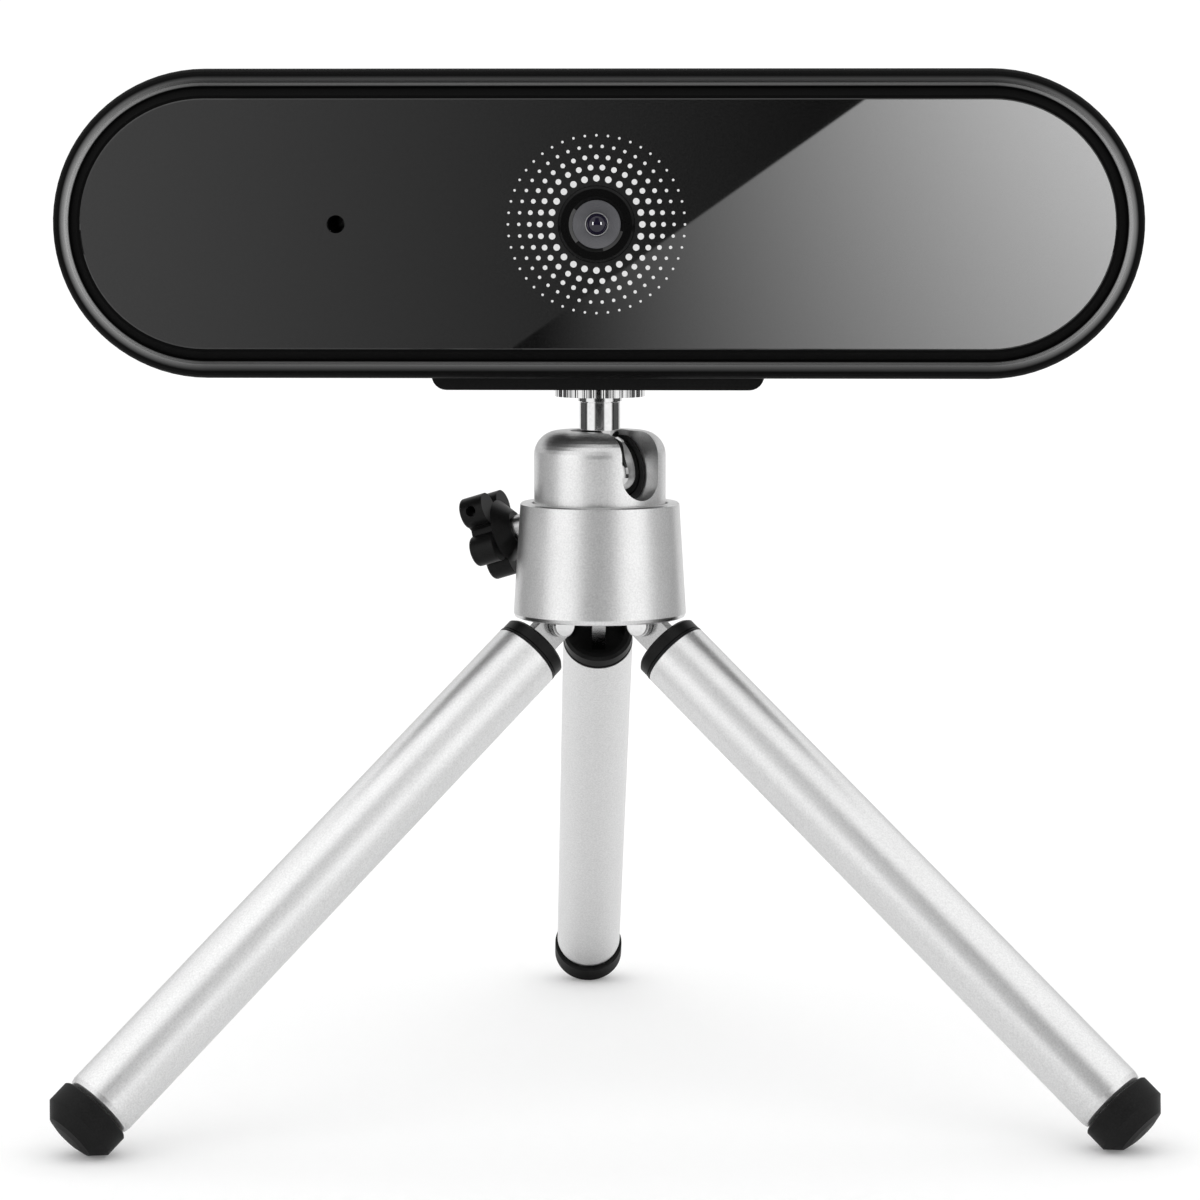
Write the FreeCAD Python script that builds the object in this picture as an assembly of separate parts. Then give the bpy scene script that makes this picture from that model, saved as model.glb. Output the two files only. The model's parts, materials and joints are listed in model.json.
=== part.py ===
"""Webcam on a mini tripod: one STEP file per separate physical piece, in millimetres.

Frame: +Z up, z = 0 on the table, the tripod's axis through x = y = 0, and the webcam
looks along -Y. The legs stand spread and pushed in, and the monitor clip is folded
into its pocket under the webcam.
"""
import FreeCAD, Part
import math
import os

from FreeCAD import Vector

X_AXIS = Vector(1, 0, 0)
Y_AXIS = Vector(0, 1, 0)
Z_AXIS = Vector(0, 0, 1)
ORIGIN = Vector(0, 0, 0)

# ---- tripod legs ------------------------------------------------------------------
LEG_AZIMUTHS = {"left": 213.0, "right": 333.0, "rear": 93.0}
LEG_SPREAD = 49.5             # degrees from vertical, resting on the spread stop
HINGE_RADIUS = 5.3            # hinge pin to the tripod's axis
TUBE_RADIUS = 3.66
TUBE_WALL = 0.4
PLUG_START = 3.0              # distances along the leg, from the hinge pin
TUBE_START = 4.64
TUBE_END = 68.54
CRIMP_LENGTH = 0.8
INNER_TUBE_RADIUS = 2.9
INNER_TUBE_WALL = 0.4
INNER_TUBE_START = 8.0
BUSH_LENGTH = 6.0
SLIDE_CLEARANCE = 0.06        # radial running clearance of the telescopic leg
CAP_RADIUS = 3.92
CAP_GAP = 0.12                # cap to tube when the leg is pushed in
CAP_CYLINDER = 2.3
CAP_CHAMFER = 1.3              # inwards, on a run a little longer than that
CAP_CHAMFER_RUN = 1.35
CAP_DOME = 0.35
TONGUE_THICKNESS = 1.4
TONGUE_HALF_WIDTH = 1.65
TONGUE_GRIP = 1.9             # how far the tongue and the plug's spigot go into the tube
PLUG_SPIGOT = 2.3
PIN_RADIUS = 0.75
PIN_HEAD_RADIUS = 1.1
PIN_HEAD_THICKNESS = 0.25
PIN_CLEARANCE = 0.05
EAR_THICKNESS = 0.8
EAR_RADIUS = 1.3
EAR_CLEARANCE = 0.12          # each side of the tongue

COS_SPREAD = math.cos(math.radians(LEG_SPREAD))
SIN_SPREAD = math.sin(math.radians(LEG_SPREAD))
CAP_EDGE = TUBE_END + CAP_GAP + CAP_CYLINDER
# The leg stands on the lower edge of its foot cap's cylinder, so the pin's height follows.
HINGE_HEIGHT = CAP_EDGE * COS_SPREAD + CAP_RADIUS * SIN_SPREAD

# ---- collar and ball head ---------------------------------------------------------
COLLAR_BOTTOM = HINGE_HEIGHT + 0.4
COLLAR_HEIGHT = 11.9
COLLAR_TOP = COLLAR_BOTTOM + COLLAR_HEIGHT
COLLAR_BOTTOM_RADIUS = 8.9
COLLAR_TOP_RADIUS = 8.2
COLLAR_CUP_RADIUS = 7.0
COLLAR_HUB_RADIUS = 7.6
COLLAR_WEB_BOTTOM = COLLAR_TOP - 7.5
COLLAR_WEB_TOP = COLLAR_WEB_BOTTOM + 1.6
HUB_SCREW_RADIUS = 1.2
HUB_SCREW_HEAD_RADIUS = 2.2
HUB_SCREW_HEAD_HEIGHT = 0.9
HUB_BOTTOM = HINGE_HEIGHT + 2.0

BALL_HEIGHT = COLLAR_TOP + 2.9
BALL_RADIUS = 4.3
LINER_RADIUS = 4.9
LINER_CLEARANCE = 0.05
LINER_MOUTH_RADIUS = 2.95
LINER_SLOT_HALF_WIDTH = 2.22
LINER_BOTTOM = BALL_HEIGHT - 3.6
DOME_RADIUS = 6.78
DOME_TOP = BALL_HEIGHT + 4.5
DOME_ROUNDING = 2.5
DOME_MOUTH_RADIUS = 3.05
DOME_SLOT_HALF_WIDTH = 2.42
DOME_SLOT_CENTRE = BALL_HEIGHT + 0.05
SLOT_AZIMUTH = 312.0
SLOT_REACH = 12.0

NECK_RADIUS = 2.1
NECK_TOP = BALL_HEIGHT + 8.05
FLANGE_RADIUS = 2.25
FLANGE_HEIGHT = 0.5
SPIGOT_RADIUS = 1.5
DISC_RADIUS = 4.65
DISC_THICKNESS = 1.0
DISC_FLUTES = 30
FLUTE_RADIUS = 0.28
SCREW_RADIUS = 3.1            # 1/4-20 tripod thread, 3.175 nominal
SCREW_LENGTH = 3.7
SPIGOT_LENGTH = 2.4           # of the stem, inside the screw
THREAD_PITCH = 1.27
THREAD_DEPTH = 0.3

# ---- lock knob, on an axis that slopes up towards the ball -------------------------
KNOB_AZIMUTH = 160.0
KNOB_SLOPE = 17.0
KNOB_RADIUS_OUT = 10.6       # inner face of the grip from the tripod's axis, along its own axis
KNOB_CENTRE_HEIGHT = COLLAR_TOP - 3.3
KNOB_THICKNESS = 2.7
KNOB_PETAL_ANGLES = (46.0, 118.0, 190.0, 262.0, -26.0)
KNOB_PETAL_CENTRE = 3.05
KNOB_PETAL_RADIUS = 1.6
KNOB_LONG_PETAL_EXTRA = 0.7
KNOB_CORE_RADIUS = 2.7
KNOB_BOSS_RADIUS = 3.3        # where it meets the grip
KNOB_BOSS_TIP_RADIUS = 1.75
KNOB_BOSS_LENGTH = 1.4
KNOB_HOLE_RADIUS = 0.55
KNOB_EDGE_ROUNDING = 0.3
KNOB_SCREW_RADIUS = 1.25
KNOB_SCREW_TIP = 5.05         # distance of the tip from the ball's centre
KNOB_SCREW_TIP_RADIUS = 0.7
KNOB_SCREW_CONE = 0.5
KNOB_SCREW_GRIP = 2.0         # how far the screw goes into the knob
THREAD_CLEARANCE = 0.05

# ---- monitor clip, folded under the webcam -----------------------------------------
CLIP_HALF_WIDTH = 16.8
CLIP_BOTTOM_HALF_WIDTH = 15.3
CLIP_FRONT = -7.6
FOOT_BOTTOM = NECK_TOP + DISC_THICKNESS
FOOT_TOP = FOOT_BOTTOM + 3.3
FOOT_HINGE_Y = 8.4
FOOT_HINGE_Z = FOOT_BOTTOM + 3.8
TILT_HINGE_Y = 8.0
TILT_HINGE_Z = FOOT_HINGE_Z + 4.0
KNUCKLE_RADIUS = 1.55
KNUCKLE_GAP = 0.2
FOOT_KNUCKLE_INNER = 10.2
FOOT_KNUCKLE_OUTER = 16.2
TILT_KNUCKLE_OUTER = 14.2
CLIP_PIN_RADIUS = 0.6
CLIP_PIN_CLEARANCE = 0.04
ARM_BOTTOM = FOOT_TOP + 1.0
ARM_TOP = ARM_BOTTOM + 2.4
PAD_THICKNESS = 0.5
PAD_PROUD = 0.3
PAD_X_RANGE = (6.8, 15.0)
PAD_Y_RANGE = (-6.2, 4.6)
INSERT_RADIUS = 4.3
INSERT_BORE = SCREW_RADIUS + 0.06
INSERT_TOP = FOOT_TOP + 1.0
BOSS_RADIUS = 5.4
ARM_HOLE_RADIUS = 5.9

# ---- webcam -------------------------------------------------------------------------
STADIUM_HALF = 39.2           # half the straight length between the two round ends
BODY_RADIUS = 15.45
BODY_CENTRE_Z = FOOT_BOTTOM + 1.3 + BODY_RADIUS
FACE_Y = -12.0
PANEL_RADIUS = 12.45
PANEL_THICKNESS = 1.2
BEZEL_LIP = 1.5               # radius of the rounded lip round the face
BEZEL_BACK_Y = -6.6
BODY_BACK_Y = 12.0
BODY_BACK_ROUNDING = 5.0
SHELL_WALL = 1.6
POCKET_HALF_WIDTH = 17.3
POCKET_FRONT = CLIP_FRONT - 0.5
POCKET_TOP = TILT_HINGE_Z + KNUCKLE_RADIUS + 0.45
POCKET_WALL = 1.2
LUG_GAP = 0.25

LENS_RING_RADIUS = 3.8
LENS_RING_BORE = 2.45
LENS_RING_PROUD = 0.35
BARREL_RADIUS = 3.3
BARREL_FRONT_Y = FACE_Y + 0.3
BARREL_BACK_Y = -2.2
BARREL_BORE = 1.75
FRONT_LENS_RADIUS = 1.1
HOLDER_HALF = 5.0
HOLDER_FRONT_Y = -7.2
HOLDER_NECK = 3.6
HOLDER_NECK_RADIUS = 4.6
BOARD_FRONT_Y = 1.8
BOARD_THICKNESS = 1.2
BOARD_HALF_LENGTH = 38.0
BOARD_TOP_Z = BODY_CENTRE_Z + 11.0
BOARD_BOTTOM_Z = POCKET_TOP + POCKET_WALL + 0.5
SENSOR_HALF = 3.2
SENSOR_THICKNESS = 0.9
SENSOR_ROOM = SENSOR_HALF + 0.5
FILTER_THICKNESS = 0.4
MIC_X = -26.0
MIC_HOLE_RADIUS = 0.9
MIC_HALF = 1.9
MIC_THICKNESS = 1.1
GASKET_RADIUS = 2.3
HEADER_X = (14.0, 21.5)
HEADER_DEPTH = 3.6
HEADER_HEIGHT = 4.2
HEADER_WALL = 0.7
GROMMET_X = 26.0
GROMMET_Z = BODY_CENTRE_Z - 2.0
GROMMET_RADIUS = 3.2
GROMMET_FLANGE_RADIUS = 4.2
CABLE_BORE_RADIUS = 2.1       # a 4 mm USB cable passes with clearance
GROMMET_FLANGE = 0.8
GROMMET_INSIDE = 3.0
GROMMET_OUTSIDE = 1.6
BOARD_POST_RADIUS = 2.2
BOARD_POSTS_X = 33.0
BOARD_POSTS_Z = (BODY_CENTRE_Z - 5.0, BODY_CENTRE_Z + 8.0)
CASE_SCREWS_X = 46.4
CASE_SCREWS_DZ = 7.2
SCREW_HEAD_RADIUS = 1.9
SCREW_SHANK_RADIUS = 0.95
SCREW_HEAD_HEIGHT = 1.2
CASE_SCREW_SUNK = 1.9         # depth of a case screw's seat under the back
CASE_BOSS_RADIUS = 2.9
CASE_BOSS_START = BEZEL_BACK_Y + 3.0
CROSS_RECESS = (1.1, 0.2)     # half length and half width


# ---- helpers ------------------------------------------------------------------------
def export(name, shape):
    """Write one named piece."""
    shape.exportStep("parts/%s.step" % name)


def azimuth(degrees, radius=1.0, height=0.0):
    """A point at an angle round the tripod's axis."""
    turn = math.radians(degrees)
    return Vector(radius * math.cos(turn), radius * math.sin(turn), height)


def box(x_range, y_range, z_range):
    """A box from its three ranges."""
    size = [pair[1] - pair[0] for pair in (x_range, y_range, z_range)]
    corner = Vector(x_range[0], y_range[0], z_range[0])
    return Part.makeBox(size[0], size[1], size[2], corner)


def cylinder(radius, start, end):
    """A cylinder between two points."""
    run = end - start
    return Part.makeCylinder(radius, run.Length, start, run)


def ring(outer, inner, start, end):
    """A tube between two points."""
    return cylinder(outer, start, end).cut(cylinder(inner, start, end))


def turned(profile):
    """A solid of revolution about Z from (radius, height) points."""
    points = [Vector(radius, 0, height) for radius, height in profile]
    face = Part.Face(Part.makePolygon(points + points[:1]))
    return face.revolve(ORIGIN, Z_AXIS, 360)


def placed(shape, base, z_to, x_to):
    """Move a shape made about its own Z so that Z points along z_to, X along x_to."""
    z_dir = Vector(z_to).normalize()
    y_dir = z_dir.cross(Vector(x_to)).normalize()
    x_dir = y_dir.cross(z_dir)
    matrix = FreeCAD.Matrix(
        x_dir.x, y_dir.x, z_dir.x, base.x,
        x_dir.y, y_dir.y, z_dir.y, base.y,
        x_dir.z, y_dir.z, z_dir.z, base.z,
        0, 0, 0, 1)
    return shape.transformed(matrix, True)


def fillet_where(shape, radius, wanted):
    """Round the edges that a test picks."""
    edges = [edge for edge in shape.Edges if wanted(edge)]
    return shape.makeFillet(radius, edges)


def stadium(profile):
    """A solid swept round the webcam's outline from (radius, y) points that start and
    end on its centre line. The two ends are half turns, joined by straight runs."""
    points = [Vector(0, y, radius) for radius, y in profile]
    face = Part.Face(Part.makePolygon(points + points[:1]))
    ends = []
    for side in (-1, 1):
        end_face = face.translated(Vector(side * STADIUM_HALF, 0, 0))
        centre = Vector(side * STADIUM_HALF, 0, 0)
        ends.append(end_face.revolve(centre, Vector(0, side, 0), 180))
    upper = face.translated(Vector(-STADIUM_HALF, 0, 0))
    run = Vector(2 * STADIUM_HALF, 0, 0)
    lower = upper.mirror(ORIGIN, Z_AXIS)
    solid = upper.extrude(run).fuse([lower.extrude(run)] + ends).removeSplitter()
    return solid.translated(Vector(0, 0, BODY_CENTRE_Z))


def arc_points(centre, radius, start, end, steps):
    """Points of an arc in a profile, angles in degrees."""
    points = []
    for step in range(steps + 1):
        turn = math.radians(start + (end - start) * step / steps)
        points.append((centre[0] + radius * math.cos(turn),
                       centre[1] + radius * math.sin(turn)))
    return points


# ---- tripod -------------------------------------------------------------------------
def leg_frame(name):
    """Hinge point, direction down the leg, and hinge axis of a leg."""
    turn = LEG_AZIMUTHS[name]
    pin = azimuth(turn, HINGE_RADIUS, HINGE_HEIGHT)
    outward = azimuth(turn)
    along = outward * SIN_SPREAD - Z_AXIS * COS_SPREAD
    hinge = Z_AXIS.cross(outward)
    return pin, along, hinge


def make_leg_tongue():
    """Steel tongue: a flat bar with a round pierced end on the pin, made about +Z."""
    half = TONGUE_THICKNESS / 2
    bar = box((-TONGUE_HALF_WIDTH, TONGUE_HALF_WIDTH), (-half, half), (0, TUBE_START + TONGUE_GRIP))
    start = Vector(0, -half, 0)
    end = Vector(0, half, 0)
    tongue = bar.fuse(cylinder(TONGUE_HALF_WIDTH, start, end)).removeSplitter()
    return tongue.cut(cylinder(PIN_RADIUS + PIN_CLEARANCE, start, end))


def make_leg_plug(tongue):
    """Plastic plug: a stepped band as wide as the tube, with a spigot inside the tube."""
    bore = TUBE_RADIUS - TUBE_WALL
    recess_depth = 1.0
    recess = bore - 0.45
    profile = [
        (0, PLUG_START + recess_depth), (recess, PLUG_START + recess_depth),
        (recess, PLUG_START), (TUBE_RADIUS - 0.35, PLUG_START),
        (TUBE_RADIUS - 0.05, PLUG_START + 0.3), (TUBE_RADIUS - 0.05, TUBE_START - 0.32),
        (TUBE_RADIUS - 0.16, TUBE_START - 0.28), (TUBE_RADIUS - 0.16, TUBE_START - 0.22),
        (TUBE_RADIUS, TUBE_START - 0.2), (TUBE_RADIUS, TUBE_START), (bore, TUBE_START),
        (bore, TUBE_START + PLUG_SPIGOT), (0, TUBE_START + PLUG_SPIGOT)]
    return turned(profile).cut(tongue)


def make_leg_tube():
    """Outer tube with a softened top edge and a crimped lower end."""
    inner = TUBE_RADIUS - TUBE_WALL
    crimp = INNER_TUBE_RADIUS + SLIDE_CLEARANCE
    crimp_start = TUBE_END - CRIMP_LENGTH
    profile = [
        (inner, TUBE_START), (TUBE_RADIUS - 0.12, TUBE_START), (TUBE_RADIUS, TUBE_START + 0.12),
        (TUBE_RADIUS, crimp_start), (TUBE_RADIUS - 0.12, TUBE_END - 0.3),
        (TUBE_RADIUS - 0.4, TUBE_END), (crimp, TUBE_END), (crimp, crimp_start),
        (inner, crimp_start)]
    return turned(profile)


def make_inner_tube():
    """Inner, telescopic tube, which carries the bush and the foot cap."""
    inner = INNER_TUBE_RADIUS - INNER_TUBE_WALL
    return ring(INNER_TUBE_RADIUS, inner, Vector(0, 0, INNER_TUBE_START), Vector(0, 0, CAP_EDGE))


def make_slide_bush():
    """Plastic bush on the inner tube's top, a running fit in the outer tube."""
    outer = TUBE_RADIUS - TUBE_WALL - SLIDE_CLEARANCE
    start = Vector(0, 0, INNER_TUBE_START)
    end = Vector(0, 0, INNER_TUBE_START + BUSH_LENGTH)
    cap_start = Vector(0, 0, INNER_TUBE_START - 0.6)
    sleeve = ring(outer, INNER_TUBE_RADIUS, start, end)
    return sleeve.fuse(cylinder(outer - 0.1, cap_start, start)).removeSplitter()


def make_foot_cap():
    """Rubber cap: a short cylinder, a chamfer and a slightly domed end."""
    top = TUBE_END + CAP_GAP
    edge = CAP_EDGE
    profile = [
        (INNER_TUBE_RADIUS, top), (CAP_RADIUS - 0.15, top), (CAP_RADIUS, top + 0.15),
        (CAP_RADIUS, edge), (CAP_RADIUS - CAP_CHAMFER, edge + CAP_CHAMFER_RUN),
        (CAP_RADIUS - CAP_CHAMFER - 1.0, edge + CAP_CHAMFER_RUN + CAP_DOME * 0.7),
        (0, edge + CAP_CHAMFER_RUN + CAP_DOME), (0, edge), (INNER_TUBE_RADIUS, edge)]
    plug = ring(INNER_TUBE_RADIUS - INNER_TUBE_WALL, 1.2, Vector(0, 0, edge - 3.0), Vector(0, 0, edge))
    return turned(profile).fuse(plug).removeSplitter()


def make_legs():
    """The three telescopic legs."""
    tongue = make_leg_tongue()
    pieces = {
        "tongue": tongue, "plug": make_leg_plug(tongue), "tube": make_leg_tube(),
        "inner_tube": make_inner_tube(), "slide_bush": make_slide_bush(),
        "foot_cap": make_foot_cap()}
    for name in LEG_AZIMUTHS:
        pin, along, hinge = leg_frame(name)
        across = hinge.cross(along)
        for piece, shape in pieces.items():
            export("%s_leg_%s" % (name, piece), placed(shape, pin, along, across))


def make_hub():
    """Hinge hub: a disc under the collar's web with a pair of ears for each leg."""
    inner_half = TONGUE_THICKNESS / 2 + EAR_CLEARANCE
    outer_half = inner_half + EAR_THICKNESS
    hub = cylinder(COLLAR_HUB_RADIUS, Vector(0, 0, HUB_BOTTOM), Vector(0, 0, COLLAR_WEB_BOTTOM))
    screw_hole = cylinder(HUB_SCREW_RADIUS, ORIGIN, Vector(0, 0, COLLAR_TOP))
    for name in LEG_AZIMUTHS:
        pin, _, hinge = leg_frame(name)
        outward = azimuth(LEG_AZIMUTHS[name])
        for side in (-1, 1):
            near = pin + hinge * (side * inner_half)
            far = pin + hinge * (side * outer_half)
            low = min(side * inner_half, side * outer_half)
            ear = box((-EAR_RADIUS, EAR_RADIUS), (low, low + EAR_THICKNESS), (0, 2.2))
            ear = placed(ear, pin, Z_AXIS, outward)
            hub = hub.fuse([ear, cylinder(EAR_RADIUS, near, far)])
            hub = hub.cut(cylinder(PIN_RADIUS, near, far))
    return hub.cut(screw_hole).removeSplitter()


def make_leg_pins():
    """Three hinge pins with flat heads, one solid each."""
    reach = TONGUE_THICKNESS / 2 + EAR_CLEARANCE + EAR_THICKNESS
    pins = []
    for name in LEG_AZIMUTHS:
        pin, _, hinge = leg_frame(name)
        shank = cylinder(PIN_RADIUS, pin - hinge * reach, pin + hinge * reach)
        solid = shank
        for side in (-1, 1):
            head_start = pin + hinge * (side * reach)
            head_end = pin + hinge * (side * (reach + PIN_HEAD_THICKNESS))
            solid = solid.fuse(cylinder(PIN_HEAD_RADIUS, head_start, head_end))
        pins.append(solid.removeSplitter())
    return Part.makeCompound(pins)


def knob_axis():
    """Direction from the ball's side out to the knob, and the grip's inner centre."""
    slope = math.radians(KNOB_SLOPE)
    out = azimuth(KNOB_AZIMUTH) * math.cos(slope) - Z_AXIS * math.sin(slope)
    centre = azimuth(KNOB_AZIMUTH, KNOB_RADIUS_OUT, KNOB_CENTRE_HEIGHT)
    return out, centre


def knob_bore(radius):
    """The lock screw's way in through the collar, dome and liner."""
    out, centre = knob_axis()
    return cylinder(radius, centre - out * 9.0, centre + out * 1.0)


def make_collar():
    """Tapered aluminium collar: a cup for the dome above a web, and room for the hub."""
    edge = 0.5
    profile = [
        (COLLAR_HUB_RADIUS, COLLAR_BOTTOM + 0.3), (COLLAR_HUB_RADIUS + 0.3, COLLAR_BOTTOM),
        (COLLAR_BOTTOM_RADIUS - edge, COLLAR_BOTTOM),
        (COLLAR_BOTTOM_RADIUS - 0.15, COLLAR_BOTTOM + 0.15),
        (COLLAR_BOTTOM_RADIUS, COLLAR_BOTTOM + edge),
        (COLLAR_TOP_RADIUS, COLLAR_TOP - 0.15), (COLLAR_TOP_RADIUS - 0.15, COLLAR_TOP),
        (COLLAR_CUP_RADIUS + 0.1, COLLAR_TOP), (COLLAR_CUP_RADIUS, COLLAR_TOP - 0.1),
        (COLLAR_CUP_RADIUS, COLLAR_WEB_TOP), (HUB_SCREW_RADIUS, COLLAR_WEB_TOP),
        (HUB_SCREW_RADIUS, COLLAR_WEB_BOTTOM), (COLLAR_HUB_RADIUS, COLLAR_WEB_BOTTOM)]
    return turned(profile).cut(knob_bore(KNOB_SCREW_RADIUS + THREAD_CLEARANCE))


def slot_cutter(half_width, centre_height):
    """The side slot: a round lower end with straight sides, open at the top."""
    start = Vector(0, 0, centre_height)
    end = Vector(SLOT_REACH, 0, centre_height)
    channel = box((0, SLOT_REACH), (-half_width, half_width), (centre_height, centre_height + 9.0))
    cutter = cylinder(half_width, start, end).fuse(channel)
    return placed(cutter, ORIGIN, Z_AXIS, azimuth(SLOT_AZIMUTH))


def make_dome():
    """Aluminium dome that holds the ball: a rounded top with a mouth and a side slot."""
    centre = (DOME_RADIUS - DOME_ROUNDING, DOME_TOP - DOME_ROUNDING)
    skirt = COLLAR_CUP_RADIUS
    profile = [(0, COLLAR_WEB_TOP), (skirt, COLLAR_WEB_TOP), (skirt, COLLAR_TOP - 0.5),
               (DOME_RADIUS, COLLAR_TOP - 0.5)]
    profile += arc_points(centre, DOME_ROUNDING, 0, 90, 10)
    profile.append((0, DOME_TOP))
    dome = turned(profile)
    ball_centre = Vector(0, 0, BALL_HEIGHT)
    bore = cylinder(LINER_RADIUS, Vector(0, 0, COLLAR_WEB_TOP), ball_centre)
    dome = dome.cut([bore, Part.makeSphere(LINER_RADIUS, ball_centre)])
    mouth = cylinder(DOME_MOUTH_RADIUS, ball_centre, Vector(0, 0, DOME_TOP + 1))
    dome = dome.cut([mouth, slot_cutter(DOME_SLOT_HALF_WIDTH, DOME_SLOT_CENTRE)])
    return dome.cut(knob_bore(KNOB_SCREW_RADIUS + THREAD_CLEARANCE))


def make_liner():
    """Plastic liner between the dome and the ball."""
    ball_centre = Vector(0, 0, BALL_HEIGHT)
    wide = 2 * LINER_RADIUS
    outer = cylinder(LINER_RADIUS, Vector(0, 0, LINER_BOTTOM), ball_centre)
    outer = outer.fuse(Part.makeSphere(LINER_RADIUS, ball_centre))
    below = box((-wide, wide), (-wide, wide), (BALL_HEIGHT - wide, LINER_BOTTOM))
    liner = outer.cut([below, Part.makeSphere(BALL_RADIUS + LINER_CLEARANCE, ball_centre)])
    mouth = cylinder(LINER_MOUTH_RADIUS, ball_centre, Vector(0, 0, DOME_TOP + 1))
    liner = liner.cut([mouth, slot_cutter(LINER_SLOT_HALF_WIDTH, DOME_SLOT_CENTRE)])
    liner = liner.cut(knob_bore(KNOB_SCREW_RADIUS + THREAD_CLEARANCE))
    return max(liner.Solids, key=lambda solid: solid.Volume)


def make_ball_seat():
    """Plastic seat under the ball, on the collar's web."""
    ball_centre = Vector(0, 0, BALL_HEIGHT)
    bottom = Vector(0, 0, COLLAR_WEB_TOP)
    seat = cylinder(LINER_RADIUS, bottom, Vector(0, 0, LINER_BOTTOM))
    room_top = bottom + Z_AXIS * (HUB_SCREW_HEAD_HEIGHT + 0.2)
    head_room = cylinder(HUB_SCREW_HEAD_RADIUS + 0.2, bottom, room_top)
    seat = seat.cut([Part.makeSphere(BALL_RADIUS + LINER_CLEARANCE, ball_centre), head_room])
    return seat.cut(knob_bore(KNOB_SCREW_RADIUS + THREAD_CLEARANCE))


def make_hub_screw():
    """Screw through the collar's web that holds the hinge hub."""
    base = Vector(0, 0, COLLAR_WEB_TOP)
    head = cylinder(HUB_SCREW_HEAD_RADIUS, base, base + Z_AXIS * HUB_SCREW_HEAD_HEIGHT)
    shank = cylinder(HUB_SCREW_RADIUS, Vector(0, 0, HINGE_HEIGHT + 2.2), base)
    drive = box((-1.5, 1.5), (-0.3, 0.3), (base.z + 0.4, base.z + 2.0))
    return head.fuse(shank).removeSplitter().cut(drive)


def knob_petal(angle, reach):
    """One round petal of the grip with its neck, which widens the grip's core."""
    centre = azimuth(angle, reach)
    web = azimuth(angle, reach / 2)
    across = Z_AXIS.cross(azimuth(angle)) * (KNOB_PETAL_RADIUS * 0.8)
    corners = [web - across, centre - across, centre + across, web + across]
    neck = Part.Face(Part.makePolygon(corners + corners[:1])).extrude(Z_AXIS * KNOB_THICKNESS)
    return neck.fuse(cylinder(KNOB_PETAL_RADIUS, centre, centre + Z_AXIS * KNOB_THICKNESS))


def make_knob():
    """Five-petal grip with a boss; the long petal has a hole for a wrist cord."""
    thickness = KNOB_THICKNESS
    long_reach = KNOB_PETAL_CENTRE + KNOB_LONG_PETAL_EXTRA
    reaches = [long_reach] + [KNOB_PETAL_CENTRE] * (len(KNOB_PETAL_ANGLES) - 1)
    petals = [knob_petal(angle, reach) for angle, reach in zip(KNOB_PETAL_ANGLES, reaches)]
    grip = cylinder(KNOB_CORE_RADIUS, ORIGIN, Z_AXIS * thickness).fuse(petals).removeSplitter()
    grip = fillet_where(grip, KNOB_EDGE_ROUNDING,
                        lambda edge: abs(edge.CenterOfMass.z - thickness) < 0.01)
    tip = Z_AXIS * -KNOB_BOSS_LENGTH
    boss = Part.makeCone(KNOB_BOSS_TIP_RADIUS, KNOB_BOSS_RADIUS, KNOB_BOSS_LENGTH, tip)
    long_tip = azimuth(KNOB_PETAL_ANGLES[0], long_reach)
    hole_start = Vector(-1.0, long_tip.y + 0.1, thickness / 2)
    hole = cylinder(KNOB_HOLE_RADIUS, hole_start, hole_start + X_AXIS * 8.0)
    screw_room = cylinder(KNOB_SCREW_RADIUS, tip, Z_AXIS * KNOB_SCREW_GRIP)
    return grip.fuse(boss).cut([hole, screw_room])


def make_knob_screw():
    """Lock screw: a shank fixed in the knob, with a cone that presses the ball."""
    out, centre = knob_axis()
    tip = -(centre - Vector(0, 0, BALL_HEIGHT)).Length + KNOB_SCREW_TIP
    cone_end = tip + KNOB_SCREW_CONE
    shank = cylinder(KNOB_SCREW_RADIUS, Z_AXIS * cone_end, Z_AXIS * KNOB_SCREW_GRIP)
    cone = Part.makeCone(KNOB_SCREW_TIP_RADIUS, KNOB_SCREW_RADIUS, KNOB_SCREW_CONE, Z_AXIS * tip)
    return placed(shank.fuse(cone).removeSplitter(), centre, out, knob_across())


def knob_across():
    """Horizontal direction across the knob, towards the front."""
    out, _ = knob_axis()
    return out.cross(Z_AXIS).normalize() * -1


def make_ball_stem():
    """Turned steel ball and neck, with a spigot into the tripod screw."""
    top = Vector(0, 0, NECK_TOP)
    ball = Part.makeSphere(BALL_RADIUS, Vector(0, 0, BALL_HEIGHT))
    profile = [
        (0, BALL_HEIGHT), (NECK_RADIUS - 0.25, BALL_HEIGHT), (NECK_RADIUS - 0.25, DOME_TOP - 0.6),
        (NECK_RADIUS, DOME_TOP + 0.1), (NECK_RADIUS, NECK_TOP - FLANGE_HEIGHT - 0.12),
        (NECK_RADIUS - 0.12, NECK_TOP - FLANGE_HEIGHT - 0.1),
        (NECK_RADIUS - 0.12, NECK_TOP - FLANGE_HEIGHT), (FLANGE_RADIUS, NECK_TOP - FLANGE_HEIGHT),
        (FLANGE_RADIUS, NECK_TOP), (0, NECK_TOP)]
    spigot = cylinder(SPIGOT_RADIUS, top, top + Z_AXIS * (DISC_THICKNESS + SPIGOT_LENGTH))
    return ball.fuse([turned(profile), spigot]).removeSplitter()


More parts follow.
